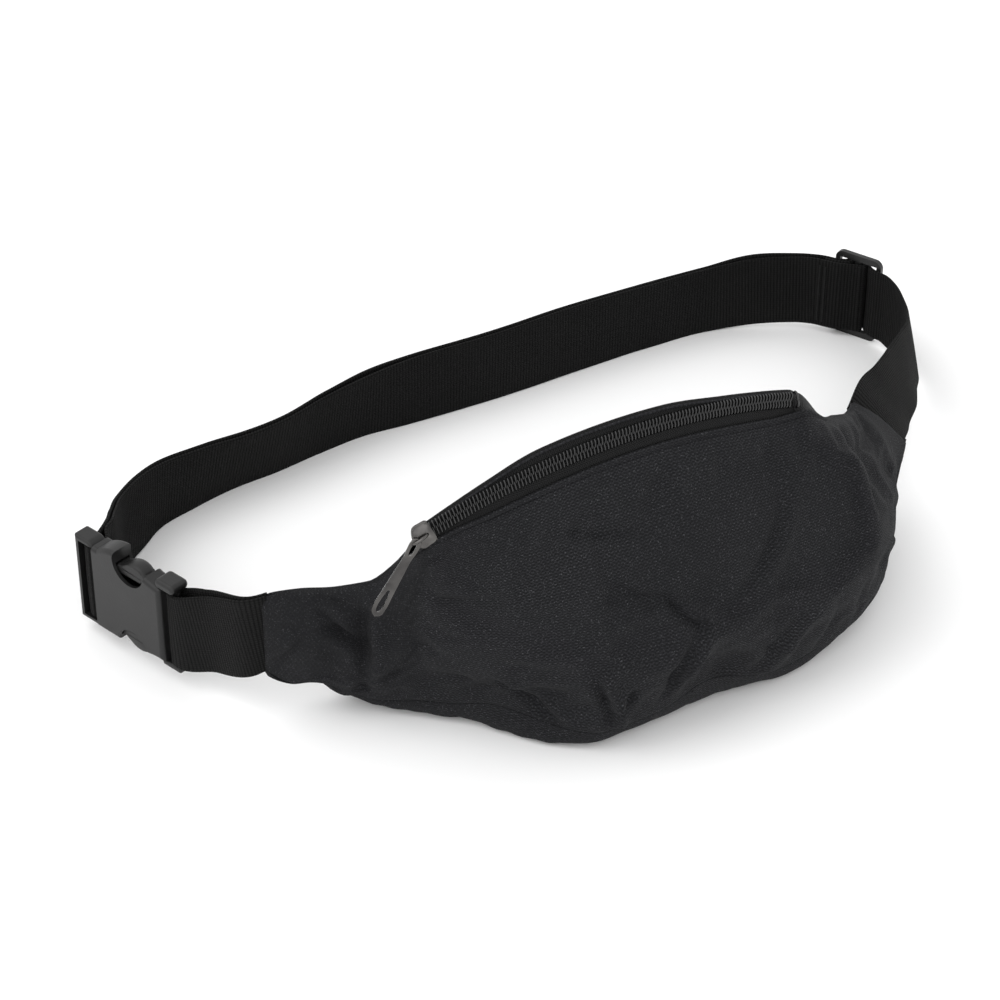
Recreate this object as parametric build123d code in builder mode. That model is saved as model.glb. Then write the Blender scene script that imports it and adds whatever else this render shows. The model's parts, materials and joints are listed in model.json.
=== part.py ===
"""Waist pack: a one-compartment fabric bag on a webbing belt, closed by a coil zip,
worn with a side-release buckle and adjusted with a three-bar glide.

Millimetres, +Z up, +X along the bag towards the adjuster end, +Y towards the wearer.
The origin is the middle of the bag's flat underside, on the surface it stands on.
"""
import os
from math import asin, cos, degrees, radians, sin, sqrt

from build123d import *

os.makedirs("parts", exist_ok=True)

# ---------------------------------------------------------------- driving dimensions
WEB_W = 38.0            # webbing width
WEB_T = 1.5             # webbing thickness
LAYER_STEP = 2.0        # pitch of two webbing layers that lie together
FIT = 0.35              # clearance between pieces that move past each other
FABRIC = 1.2            # bag panel thickness, with its backing

# bag body
BAG_TOP = 129.0         # height of the zip at the middle of its arch
ZIP_X = -3.0            # X of the top of the arch
ZIP_R = 210.0           # radius of the zip's arch
ZIP_LEAN = 16.7         # the arch leans forward by this angle from upright
ZIP_ROLL = -46.6        # the tape faces forward and up by this turn about the chain
ZIP_FROM = -29.4        # arch angle of the closed end, degrees from the top
ZIP_TO = 20.3           # arch angle of the open end
SLIDER_AT = -28.6       # arch angle of the slider when the zip is closed
TAPE_W = 7.0            # half width of the zip, one tape
TAPE_T = 0.7
COIL_W = 2.8            # width of one coil
COIL_H = 2.0
COIL_GAP = 1.0          # slot between the two halves, for the slider's post

# side-release buckle, along its own axis from the socket's strap edge
BUCKLE_AT = Vector(-181.0, 95.0, 28.5)
BUCKLE_DIR = Vector(-0.34, 0.94, 0)
SOCKET_L = 41.0
SOCKET_W = 43.0
SOCKET_T = 11.0
SOCKET_WALL = 1.6
CAVITY_W = 38.6
STRAP_BAR_X = -6.25
STRAP_BAR_R = 2.25
WINDOW_X = 18.0
WINDOW_R = 9.5
MALE_END = 53.0
MALE_BAR_X = 45.4
FRAME_FROM = 41.3       # where the plug's strap frame starts
FRAME_W = 44.0
FRAME_HALF_T = 4.4
WEB_SLOT_W = WEB_W + 1.6  # room for the webbing in a fitting
PAD_FROM, PAD_TO = 9.9, 24.0
MALE_BAR_R = 1.4
PRONG_HINGE = (35.5, 16.0)
EDGE_R = 2.2            # rounding of the socket's long edges
PAD_R = 0.9             # and of the release pads

# three-bar glide
GLIDE_AT = Vector(224.0, 182.0, 23.1)
GLIDE_DIR = Vector(-0.47, 0.883, 0)
GLIDE_L = 25.0
GLIDE_W = 46.0
GLIDE_T = 2.4

# zip pull
PULL_L = 35.0
PULL_W = 6.0
PULL_T = 1.4
PULL_SWING = 28.0       # it hangs this far round from the chain's line
PULL_DROOP = 3.0        # and this far down from the tape's plane


def keep(builder, name):
    """Label a finished piece and write its STEP."""
    builder.part.label = name
    export_step(builder.part, f"parts/{name}.step")
    print(f"{name:22s} {builder.part.volume:10.1f} mm3")


def turned(plane, direction, angle):
    """A plane turned about a direction through its own origin."""
    axis = Axis((0, 0, 0), direction)
    return Plane(plane.origin, plane.x_dir.rotate(axis, angle), plane.z_dir.rotate(axis, angle))


# ---------------------------------------------------------------- zip frame
ARCH_UP = Vector(0, -sin(radians(ZIP_LEAN)), cos(radians(ZIP_LEAN)))
ARCH_AXIS = Vector(0, cos(radians(ZIP_LEAN)), sin(radians(ZIP_LEAN)))
ARCH_TOP = Vector(ZIP_X, 0, BAG_TOP)
ARCH_CENTRE = ARCH_TOP - ARCH_UP * ZIP_R


def arch_plane(angle):
    """Cross plane of the zip at an arch angle: x across it to the rear, y outwards."""
    radial = ARCH_UP * cos(radians(angle)) + Vector(1, 0, 0) * sin(radians(angle))
    along = Vector(1, 0, 0) * cos(radians(angle)) - ARCH_UP * sin(radians(angle))
    cross = Plane(origin=ARCH_CENTRE + radial * ZIP_R, x_dir=radial, z_dir=along)
    return turned(cross, along, ZIP_ROLL)


def arch_point(x, across, out):
    """Point of the zip's surface above a station x."""
    angle = degrees(asin((x - ZIP_X) / ZIP_R))
    return arch_plane(angle).from_local_coords(Vector(across, out, 0))


# ---------------------------------------------------------------- bag body
# x, front y, rear y, underside z, top z, top y; a top of None follows the zip's arch
STATIONS = [
    (-157.5, 48.0, 52.0, 24.0, 64.0, 50.0),
    (-141.0, 42.0, 53.0, 16.0, 63.0, 48.5),
    (-125.0, 32.0, 53.0, 8.0, 60.0, 46.0),
    (-114.0, 24.0, 52.0, 4.5, 65.0, 37.0),
    (-108.0, 19.5, 52.0, 3.5, 80.0, 25.0),
    (-101.0, 14.0, 51.0, 2.5, None, None),
    (-88.0, 0.0, 50.0, 1.5, None, None),
    (-66.0, -21.0, 50.0, -0.25, None, None),
    (-40.0, -37.0, 49.0, -0.25, None, None),
    (0.0, -43.0, 48.0, -0.25, None, None),
    (40.0, -40.0, 49.0, -0.25, None, None),
    (70.0, -34.0, 50.0, 2.0, None, None),
    (88.0, -28.5, 51.0, 5.0, 99.0, 11.0),
    (102.0, -21.0, 52.0, 8.0, 86.0, 24.0),
    (115.0, -10.0, 53.0, 12.0, 75.0, 36.0),
    (127.0, 6.0, 56.0, 19.0, 64.0, 49.0),
]
# the adjuster end of the bag turns back and lies over
TIP_TOP = Vector(143, 66, 54)
TIP_BOTTOM = Vector(170, 61, 27)
TIP_THICK = 4.0


def bag_section(x, front, rear, low, top, top_y):
    """Outline points of one cross section, as (y, z), front and rear halves."""
    if top is None:
        front_edge = arch_point(x, -TAPE_W - 1.0, -0.3)
        rear_edge = arch_point(x, TAPE_W + 0.6, -1.2)
        front_top = (front_edge.Y, front_edge.Z)
        rear_top = (rear_edge.Y, rear_edge.Z)
    else:
        front_top = (top_y - 0.2, top)
        rear_top = (top_y + 0.2, top)
    deep = rear - front
    high = front_top[1] - low
    seam = (front + 0.03 * deep, low + 0.08 * high)
    span = front_top[0] - front
    if top is None:
        crown = [(front + 0.26 * span, low + 0.68 * high)]
    else:
        crown = [(front + 0.08 * span, low + 0.66 * high), (front + 0.4 * span, low + 0.93 * high)]
    front_half = [seam, (front, low + 0.3 * high), *crown, front_top]
    rear_half = [
        (seam[0] + 0.2, seam[1] - 0.9),
        (front + 0.1 * deep, low + 0.012 * high),
        (front + 0.24 * deep, low),
        (front + 0.5 * deep, low),
        (front + 0.76 * deep, low),
        (rear - 0.08 * deep, low + 0.03 * high),
        (rear, low + 0.3 * high),
        (rear_top[0] + 0.72 * (rear - rear_top[0]), low + 0.7 * high),
        rear_top,
    ]
    return front_half, rear_half


def lining(points, outline, amount):
    """Inner face of a panel: the points drawn in from the whole outline's box."""
    spread = [[p[axis] for p in outline] for axis in (0, 1)]
    centre = [(max(values) + min(values)) / 2 for values in spread]
    keep_part = [1 - 2 * amount / (max(values) - min(values)) for values in spread]
    return [tuple(centre[i] + (p[i] - centre[i]) * keep_part[i] for i in (0, 1)) for p in points]


def station_plane(x):
    """Upright cross plane whose sketch coordinates are the frame's y and z."""
    return Plane(origin=(x, 0, 0), x_dir=(0, 1, 0), z_dir=(1, 0, 0))


TIP_UP = (TIP_TOP - TIP_BOTTOM).normalized()
TIP_ALONG = Vector(0.55, 0.78, 0.35)
TIP_ALONG = (TIP_ALONG - TIP_UP * TIP_ALONG.dot(TIP_UP)).normalized()
TIP_ACROSS = TIP_UP.cross(TIP_ALONG)
TIP_MIDDLE = (TIP_TOP + TIP_BOTTOM) * 0.5


def tip_outline():
    """Halves of the adjuster-end section, in its own plane: x to the rear, y up it."""
    half = (TIP_TOP - TIP_BOTTOM).length / 2
    thick = TIP_THICK / 2
    front_half = [(-0.4 * thick, -half), (-thick, -0.4 * half), (-thick, 0.4 * half), (-0.2, half)]
    rear_half = [
        (-0.4 * thick + 0.2, -half - 0.8),
        (0.7 * thick, -0.8 * half),
        (thick, -0.3 * half),
        (thick, 0.4 * half),
        (0.2, half),
    ]
    return front_half, rear_half


def panel_sketches(side):
    """Thin band sketches of the front (0) or rear (1) panel, from tip to tip."""
    tip = Plane(origin=TIP_MIDDLE, x_dir=TIP_ACROSS, z_dir=TIP_ACROSS.cross(TIP_UP))
    sections = [(station_plane(row[0]), bag_section(*row)) for row in STATIONS]
    sections.append((tip, tip_outline()))
    sketches = []
    for plane, halves in sections:
        with BuildSketch(plane) as section:
            with BuildLine():
                outside = Spline(*halves[side])
                inside = Spline(*lining(halves[side], halves[0] + halves[1], FABRIC))
                Line(outside @ 0, inside @ 0)
                Line(outside @ 1, inside @ 1)
            make_face()
        sketches.append(section.sketch)
    return sketches


with BuildPart() as front_panel:
    loft(sections=panel_sketches(0), ruled=True)
keep(front_panel, "front_panel")

with BuildPart() as back_panel:
    loft(sections=panel_sketches(1), ruled=True)
    split(bisect_by=Plane.XY, keep=Keep.TOP)
keep(back_panel, "back_panel")


# ---------------------------------------------------------------- zip
ZIP_SWEEP = ZIP_TO - ZIP_FROM
ZIP_HINGE = Axis(ARCH_CENTRE, ARCH_AXIS)


def zip_band(low_across, high_across, low_out, high_out):
    """Sketch of a rectangular strip of the zip, at its closed end."""
    with BuildSketch(arch_plane(ZIP_FROM)) as section:
        with Locations(((low_across + high_across) / 2, (low_out + high_out) / 2)):
            Rectangle(high_across - low_across, high_out - low_out)
    return section.sketch


TAPE_IN = COIL_GAP / 2
COIL_OUT = TAPE_IN + COIL_W
with BuildPart() as zip_tape_lower:
    revolve(zip_band(-TAPE_W, -TAPE_IN, -TAPE_T, 0), ZIP_HINGE, revolution_arc=ZIP_SWEEP)
keep(zip_tape_lower, "zip_tape_lower")

with BuildPart() as zip_tape_upper:
    revolve(zip_band(TAPE_IN, TAPE_W, -TAPE_T, 0), ZIP_HINGE, revolution_arc=ZIP_SWEEP)
keep(zip_tape_upper, "zip_tape_upper")

with BuildPart() as zip_coil_lower:
    revolve(zip_band(-COIL_OUT, -TAPE_IN, 0, COIL_H), ZIP_HINGE, revolution_arc=ZIP_SWEEP)
keep(zip_coil_lower, "zip_coil_lower")

with BuildPart() as zip_coil_upper:
    revolve(zip_band(TAPE_IN, COIL_OUT, 0, COIL_H), ZIP_HINGE, revolution_arc=ZIP_SWEEP)
keep(zip_coil_upper, "zip_coil_upper")


def chain_plane(angle):
    """Plane of the tape at an arch angle: x along the chain, y to the rear, z outwards."""
    cross = arch_plane(angle)
    return Plane(origin=cross.origin, x_dir=cross.z_dir, z_dir=cross.y_dir)


# the slider straddles both coils; its post runs in the slot between them
SLIDER = chain_plane(SLIDER_AT)
PLATE_T = 1.1
PLATE_LOW = -TAPE_T - FIT - PLATE_T
PLATE_HIGH = COIL_H + FIT
FLANGE_IN = COIL_OUT + FIT
FLANGE_OUT = FLANGE_IN + 0.9
NOSE = -4.6
TAIL = 4.5
BRIDGE_Z = PLATE_HIGH + PLATE_T
PIN_AT = (-3.0, BRIDGE_Z + 1.4)
BRIDGE_HALF = 0.8


def slider_plate(low):
    """Shield outline of a slider plate, at a height above the tape."""
    with BuildSketch(SLIDER.offset(low)) as section:
        with BuildLine():
            Polyline(
                (NOSE, -1.8), (NOSE + 2.2, -FLANGE_OUT), (TAIL, -FLANGE_OUT + 0.4),
                (TAIL, FLANGE_OUT - 0.4), (NOSE + 2.2, FLANGE_OUT), (NOSE, 1.8), close=True,
            )
        make_face()
    return section.sketch


SLIDER_SIDE = Plane(origin=SLIDER.origin, x_dir=SLIDER.x_dir, z_dir=SLIDER.y_dir * -1)
FLANGE_MID = (FLANGE_IN + FLANGE_OUT - 0.4) / 2
FLANGE_T = FLANGE_OUT - 0.4 - FLANGE_IN
with BuildPart() as zip_slider:
    extrude(slider_plate(PLATE_LOW), amount=PLATE_T)
    extrude(slider_plate(PLATE_HIGH), amount=PLATE_T)
    with BuildSketch(SLIDER.offset(FIT)):
        with Locations(((NOSE + 2.6 + TAIL) / 2, -FLANGE_MID), ((NOSE + 2.6 + TAIL) / 2, FLANGE_MID)):
            Rectangle(TAIL - NOSE - 2.6, FLANGE_T)
    extrude(amount=PLATE_HIGH - FIT)
    with BuildSketch(SLIDER.offset(PLATE_LOW)):
        with Locations((NOSE + 1.6, 0)):
            Rectangle(2.2, 0.3)
    extrude(amount=PLATE_HIGH - PLATE_LOW)
    with BuildSketch(SLIDER_SIDE):
        with Locations((-1.7, BRIDGE_Z + 1.3)):
            RectangleRounded(7.8, 4.4, 1.6)
        with Locations((-1.7, BRIDGE_Z + 1.35)):
            RectangleRounded(5.6, 2.5, 1.0, mode=Mode.SUBTRACT)
    extrude(amount=BRIDGE_HALF, both=True)
keep(zip_slider, "zip_slider")

# the pull hangs from a pin that passes under the slider's bridge
PULL_PIN_R = 0.6
PIN_POINT = SLIDER.from_local_coords(Vector(PIN_AT[0], 0, PIN_AT[1]))
PULL_FLAT = Plane(origin=PIN_POINT, x_dir=SLIDER.x_dir, z_dir=SLIDER.z_dir)
PULL_FLAT = turned(PULL_FLAT, PULL_FLAT.z_dir, PULL_SWING)
PULL_FLAT = turned(PULL_FLAT, PULL_FLAT.y_dir, -PULL_DROOP)
EYE_X = 7.0             # from the pin to where the two cheeks join
CHEEK_T = 0.9
CHEEK_Y = 2.65          # clear of the bridge with the pull swung round
CHEEK_OUT = CHEEK_Y + CHEEK_T / 2
NECK = 2.2              # half width of the tab where it leaves the eye
HALF = PULL_W / 2
with BuildPart() as zip_pull:
    with BuildSketch(PULL_FLAT):
        with BuildLine():
            Polyline(
                (-EYE_X, -CHEEK_OUT), (-EYE_X - 2.5, -NECK), (-PULL_L + 6, -HALF), (-PULL_L + 1.5, -HALF),
                (-PULL_L, -HALF + 1.4), (-PULL_L, HALF - 1.4), (-PULL_L + 1.5, HALF),
                (-PULL_L + 6, HALF), (-EYE_X - 2.5, NECK), (-EYE_X, CHEEK_OUT), close=True,
            )
        make_face()
        with Locations((-PULL_L + 8.5, 0)):
            SlotOverall(11, 2.8, mode=Mode.SUBTRACT)
        with Locations((-EYE_X / 2 - 0.2, -CHEEK_Y), (-EYE_X / 2 - 0.2, CHEEK_Y)):
            Rectangle(EYE_X + 1.6, CHEEK_T)
    extrude(amount=PULL_T / 2, both=True)
    with BuildSketch(Plane(origin=PIN_POINT, x_dir=PULL_FLAT.x_dir, z_dir=PULL_FLAT.y_dir)):
        Circle(PULL_PIN_R)
    extrude(amount=CHEEK_Y, both=True)
keep(zip_pull, "zip_pull")

# stops: staples across the coils, past both ends of the slider's travel
def stop(angle):
    """One staple over both coils at an arch angle."""
    with BuildSketch(chain_plane(angle).offset(COIL_H + 0.05)) as section:
        Rectangle(1.6, 2 * COIL_OUT)
    return section.sketch


with BuildPart() as zip_end_stop:
    extrude(stop(ZIP_TO - 0.4), amount=0.8)
keep(zip_end_stop, "zip_end_stop")

# ---------------------------------------------------------------- side-release buckle
BUCKLE = Plane(origin=BUCKLE_AT, x_dir=BUCKLE_DIR, z_dir=(0.94, 0.34, 0))
BUCKLE_PLAN = Plane(origin=BUCKLE_AT, x_dir=BUCKLE_DIR, z_dir=(0, 0, -1))


def long_edges(part, reach, least, most):
    """Edges of the outer faces at a height either side of the buckle's plane, between two x."""
    faces = [f for f in part.faces() if abs(abs((f.center() - BUCKLE_AT).dot(BUCKLE.z_dir)) - reach) < 0.01]
    found = [e for f in faces for e in f.outer_wire().edges()]
    return [e for e in found if least < (e.center() - BUCKLE_AT).dot(BUCKLE.x_dir) < most]


def bar_plane(x):
    """Plan of a strap bar, at its place along the buckle."""
    return Plane(origin=BUCKLE_AT + BUCKLE.x_dir * x, x_dir=BUCKLE.x_dir, z_dir=(0, 0, 1))


with BuildPart() as buckle_socket:
    with BuildSketch(BUCKLE):
        with BuildLine():
            shoulder = Spline((SOCKET_L - 3, SOCKET_W / 2), (8.0, 21.2), (4.0, 20.2), (-1.0, 19.6))
            foot = Spline((-1.0, -19.3), (5.0, -19.3), (10.0, -20.2), (16.0, SOCKET_W / -2))
            Line(shoulder @ 1, foot @ 0)
            Polyline(foot @ 1, (SOCKET_L, SOCKET_W / -2), (SOCKET_L, SOCKET_W / 2), shoulder @ 0)
        make_face()
    extrude(amount=SOCKET_T / 2, both=True)
    fillet(long_edges(buckle_socket, SOCKET_T / 2, -2, SOCKET_L - 1), EDGE_R)
    for middle, high, reach in ((22.0, 4.6, 4.9), (-21.0, 2.8, 3.4)):
        with BuildPart(mode=Mode.PRIVATE) as knob:
            with BuildSketch(BUCKLE):
                with Locations((-3.5, middle)):
                    RectangleRounded(11.5, high, 0.48 * high)
            extrude(amount=reach, both=True)
            fillet(long_edges(knob, reach, -12, 6), 0.4 * high)
        add(knob)
    with BuildSketch(bar_plane(STRAP_BAR_X)):
        Circle(STRAP_BAR_R)
    extrude(amount=20.5, both=True)
    with BuildSketch(BUCKLE):
        with Locations((WINDOW_X, -22), (WINDOW_X, 22)):
            Circle(WINDOW_R)
    extrude(amount=SOCKET_T, both=True, mode=Mode.SUBTRACT)
    with BuildSketch(BUCKLE):
        with Locations((9 + (SOCKET_L + 1 - 9) / 2, 0)):
            Rectangle(SOCKET_L + 1 - 9, CAVITY_W)
    extrude(amount=SOCKET_T / 2 - SOCKET_WALL, both=True, mode=Mode.SUBTRACT)
keep(buckle_socket, "buckle_socket")

CAVITY_T = SOCKET_T - 2 * SOCKET_WALL
with BuildPart() as buckle_plug:
    with BuildSketch(BUCKLE) as frame:
        with Locations(((FRAME_FROM + MALE_END) / 2, 0)):
            Rectangle(MALE_END - FRAME_FROM, FRAME_W)
        fillet(frame.vertices().group_by(Axis(BUCKLE.origin, BUCKLE.x_dir))[-1], 4.0)
    extrude(amount=FRAME_HALF_T, both=True)
    fillet(long_edges(buckle_plug, FRAME_HALF_T, FRAME_FROM + 0.2, MALE_END + 1), 1.4)
    with BuildSketch(BUCKLE):
        with Locations(((FRAME_FROM + 0.2 + MALE_END - 2.5) / 2, 0)):
            Rectangle(MALE_END - 2.5 - FRAME_FROM - 0.2, WEB_SLOT_W)
    extrude(amount=6, both=True, mode=Mode.SUBTRACT)
    with BuildSketch(bar_plane(MALE_BAR_X)):
        Circle(MALE_BAR_R)
    extrude(amount=20.5, both=True)
    with BuildSketch(BUCKLE):
        with Locations((38.8, 0)):
            Rectangle(5.6, CAVITY_W - 0.8)
        with Locations((24.5, 0)):
            Rectangle(25, 10)
        with Locations((PRONG_HINGE[0], -PRONG_HINGE[1]), PRONG_HINGE):
            Circle(2.2, mode=Mode.SUBTRACT)
    extrude(amount=CAVITY_T / 2 - FIT, both=True)
keep(buckle_plug, "buckle_plug")


def prong(side):
    """Springy arm with its release pad, hinged at the plug's crosspiece."""
    with BuildSketch(BUCKLE) as section:
        with BuildLine():
            outside = Spline((26.4, 18.8), (21.5, 19.3), (16, 20.3), (12, 21.0), (9.8, 20.0))
            Polyline(outside @ 1, (9.6, 17.0), (12.5, 14.8), (35, 14.4), (35, 17.4), (26.4, 17.6), outside @ 0)
        make_face()
        with Locations(PRONG_HINGE):
            Circle(1.7)
        if side < 0:
            mirror(about=Plane.XZ, mode=Mode.REPLACE)
    return section.sketch


with BuildPart() as prong_upper:
    extrude(prong(1), amount=CAVITY_T / 2 - FIT, both=True)
    fillet(long_edges(prong_upper, CAVITY_T / 2 - FIT, PAD_FROM, PAD_TO), PAD_R)
keep(prong_upper, "prong_upper")

with BuildPart() as prong_lower:
    extrude(prong(-1), amount=CAVITY_T / 2 - FIT, both=True)
    fillet(long_edges(prong_lower, CAVITY_T / 2 - FIT, PAD_FROM, PAD_TO), PAD_R)
keep(prong_lower, "prong_lower")

# ---------------------------------------------------------------- webbing
def strap_section(top, bottom, along, step=0.0):
    """Cross section of the webbing between its two edges, moved out by a step."""
    top = Vector(*top)
    bottom = Vector(*bottom)
    up = (top - bottom).normalized()
    along = (along - up * along.dot(up)).normalized()
    outward = along.cross(up)
    with BuildSketch(Plane((top + bottom) * 0.5 + outward * step, x_dir=up, z_dir=along)) as section:
        Rectangle(WEB_W, WEB_T)
    return section.sketch


def strap_sections(rows, step=0.0):
    """Cross sections along a run of webbing given by its top and bottom edge points."""
    centres = [(Vector(*top) + Vector(*bottom)) * 0.5 for top, bottom in rows]
    sections = []
    for index, (top, bottom) in enumerate(rows):
        ahead = centres[min(index + 1, len(rows) - 1)]
        behind = centres[max(index - 1, 0)]
        sections.append(strap_section(top, bottom, ahead - behind, step))
    return sections


# edge points of the belt's outer layer, from the bag's right tip round to the buckle
RISE = [
    ((144, 68, 54), (171, 63, 27)),
    ((165.5, 82.5, 50.5), (189, 85, 22)),
    ((183.5, 96.5, 48), (204, 100.5, 18)),
    ((200, 110, 46), (215.5, 116, 13)),
    ((213, 123, 43), (225.5, 130, 8.5)),
    ((222, 138, 42), (230, 144, 5)),
    ((228.5, 159, 41.9), (228.5, 159, 3.9)),
]
FAR_RUN = [
    ((184, 213, 41.5), (184, 213, 3.5)),
    ((160, 219, 38.2), (160, 221, 0.3)),
    ((125, 220, 38.2), (125, 222, 0.3)),
    ((81, 220, 38.3), (81, 220, 0.3)),
    ((35, 217, 38.3), (34, 218, 0.3)),
    ((-8, 217, 38.3), (-8, 219, 0.3)),
    ((-30, 215, 38), (-31, 221, 0.4)),
    ((-53, 209, 37.4), (-55, 217, 0.4)),
]
END_RUN = [
    ((-54.2, 208.7, 37.4), (-56.2, 216.6, 0.4)),
    ((-78, 201, 36.6), (-80, 212, 0.4)),
    ((-99, 198, 36.6), (-100, 210, 0.5)),
    ((-122, 196, 37.5), (-124, 204, 0.5)),
    ((-145, 192, 38.4), (-146, 196, 0.6)),
    ((-159, 185, 38.8), (-159, 185, 0.8)),
    ((-172.5, 173, 40), (-172.5, 173, 2)),
    ((-180, 160.5, 43), (-180, 160.5, 5)),
    ((-185, 151.5, 46), (-185, 151.5, 8)),
    ((-189.4, 145.8, 47.5), (-189.4, 145.8, 9.5)),
]

with BuildPart() as belt_rise:
    loft(sections=strap_sections(RISE), ruled=True)
keep(belt_rise, "belt_rise")

with BuildPart() as belt_far:
    loft(sections=strap_sections(FAR_RUN), ruled=True)
keep(belt_far, "belt_far")

INNER_RUN = FAR_RUN[1:]
with BuildPart() as belt_inner:
    loft(sections=strap_sections(INNER_RUN, -LAYER_STEP), ruled=True)
keep(belt_inner, "belt_inner")


def flat_point(plane, x, v):
    """Point of a fitting's plan as (X, Y): x along it, v along its normal."""
    point = plane.origin + plane.x_dir * x + plane.z_dir * v
    return (point.X, point.Y)


def plan_points(plane, points):
    """Points of a fitting's plan in the frame."""
    return [flat_point(plane, x, v) for x, v in points]


def upright_band(low, *curves):
    """Upright webbing over a chain of plan curves, each a list of points."""
    with BuildSketch(Plane.XY.offset(low)) as section:
        with BuildLine():
            for points in curves:
                Spline(*points)
        trace(line_width=WEB_T)
    return section.sketch


# both layers round the plug's bar, open towards the wearer
WEB_LOW = BUCKLE_AT.Z - WEB_W / 2
LOOP_R = MALE_BAR_R + 0.3 + WEB_T / 2
with BuildPart() as belt_end:
    loft(sections=strap_sections(END_RUN), ruled=True)
    loft(sections=strap_sections(END_RUN, -LAYER_STEP), ruled=True)
    with BuildSketch(Plane.XY.offset(WEB_LOW)):
        with BuildLine():
            outer_leg = Spline(
                *plan_points(BUCKLE, [(50.6, 9.0), (48.7, 5.4), (48.0, 2.6), (MALE_BAR_X + LOOP_R, 0)])
            )
            ThreePointArc(
                outer_leg @ 1,
                flat_point(BUCKLE, MALE_BAR_X, -LOOP_R),
                flat_point(BUCKLE, MALE_BAR_X - LOOP_R, 0),
            )
            Spline(*plan_points(BUCKLE, [(MALE_BAR_X - LOOP_R, 0), (43.0, 3.0), (44.6, 6.6), (48.9, 10.2)]))
        trace(line_width=WEB_T)
    extrude(amount=WEB_W)
keep(belt_end, "belt_end")

# ---------------------------------------------------------------- three-bar glide
GLIDE = Plane(origin=GLIDE_AT, x_dir=GLIDE_DIR, z_dir=(0.883, 0.47, 0))
GLIDE_BAR = 1.6         # half width of the middle bar
GLIDE_RIM = 2.5         # width of the two end bars
GLIDE_LOW = 3.9         # the webbing is held this far off the surface here
with BuildPart() as tri_glide:
    with BuildSketch(GLIDE):
        RectangleRounded(GLIDE_L, GLIDE_W, 4)
        slot = GLIDE_L / 2 - GLIDE_RIM - GLIDE_BAR
        with Locations((GLIDE_BAR + slot / 2, 0), (-GLIDE_BAR - slot / 2, 0)):
            Rectangle(slot, WEB_SLOT_W, mode=Mode.SUBTRACT)
    extrude(amount=GLIDE_T / 2, both=True)
keep(tri_glide, "tri_glide")

with BuildPart() as belt_adjust:
    path = [(228.4, 159.6)]
    path += plan_points(GLIDE, [
        (-16, -3.2), (-11.3, -2.5), (-6.6, -0.6), (-3.2, 3.0), (0, 4.4), (3.6, 3.1), (7.4, -0.7),
        (11.3, -2.5), (17, -3.6), (24.5, -6.6), (33, -11.6),
    ])
    path += [(184.6, 212.8)]
    extrude(upright_band(GLIDE_LOW, path), amount=WEB_W)
keep(belt_adjust, "belt_adjust")

# the belt's sewn end folds round the glide's middle bar
with BuildPart() as belt_tail:
    fold = plan_points(GLIDE, [
        (18.5, -7.9), (13, -7.0), (8, -6.0), (3.6, -3.8), (0, -2.4), (-2.5, -1.7), (-3.2, 0.1),
        (-2.2, 1.8), (0, 2.4), (2.9, 1.2), (5.4, -1.9), (8.6, -4.0), (12.6, -4.8), (16, -5.5),
    ])
    extrude(upright_band(GLIDE_LOW, fold), amount=WEB_W)
keep(belt_tail, "belt_tail")

with BuildPart() as belt_slack:
    path = plan_points(GLIDE, [(18.9, -8.0), (25.5, -9.6), (33, -13.9)])
    path += [(183, 210.7), (161, 217.1)]
    extrude(upright_band(GLIDE_LOW - 2, path), amount=WEB_W)
keep(belt_slack, "belt_slack")

with BuildPart() as tail_bartack:
    tack_at = GLIDE_AT + GLIDE.x_dir * 14 - GLIDE.z_dir * 8.95
    with BuildSketch(Plane(tack_at, x_dir=GLIDE.x_dir, z_dir=GLIDE.z_dir)):
        with Locations((0, 0), (3.0, 0)):
            Rectangle(0.8, 32)
    extrude(amount=0.25)
keep(tail_bartack, "tail_bartack")

# ---------------------------------------------------------------- short strap at the socket
SOCKET_LOOP_R = STRAP_BAR_R + 0.3 + WEB_T / 2
BAR_XY = flat_point(BUCKLE, STRAP_BAR_X, 0)
SHORT_ROWS = [
    ((*BAR_XY, WEB_LOW + WEB_W), (*BAR_XY, WEB_LOW), SOCKET_LOOP_R),
    ((-170.5, 73, 53), (-170.5, 73, 15), 2.0),
    ((-159.4, 51.4, 63), (-159.4, 51.4, 25), 1.0),
]


def short_layer(side):
    """One layer of the short strap, from the socket's bar to the bag's left tip."""
    headings = [BUCKLE.x_dir * -1, Vector(0.45, -0.88, 0.2), Vector(0.47, -0.87, 0.2)]
    return [
        strap_section(top, bottom, heading, side * step)
        for (top, bottom, step), heading in zip(SHORT_ROWS, headings)
    ]


with BuildPart() as short_strap:
    loft(sections=short_layer(1), ruled=True)
    loft(sections=short_layer(-1), ruled=True)
    with BuildSketch(Plane.XY.offset(WEB_LOW)):
        with BuildLine():
            ThreePointArc(
                flat_point(BUCKLE, STRAP_BAR_X, -SOCKET_LOOP_R),
                flat_point(BUCKLE, STRAP_BAR_X + SOCKET_LOOP_R, 0),
                flat_point(BUCKLE, STRAP_BAR_X, SOCKET_LOOP_R),
            )
        trace(line_width=WEB_T)
    extrude(amount=WEB_W)
keep(short_strap, "short_strap")

# ---------------------------------------------------------------- binding inside the bottom seam
with BuildPart() as seam_binding:
    bindings = []
    for row in STATIONS[3:10]:
        front_half, rear_half = bag_section(*row)
        with BuildSketch(station_plane(row[0])) as section:
            with Locations((front_half[0][0] + 7.0, front_half[0][1] + 5.0)):
                Rectangle(5.0, 1.0, rotation=-20)
        bindings.append(section.sketch)
    loft(sections=bindings, ruled=True)
keep(seam_binding, "seam_binding")
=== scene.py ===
import json
import math

import bmesh
import bpy
import numpy as np
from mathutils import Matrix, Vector, noise


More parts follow.
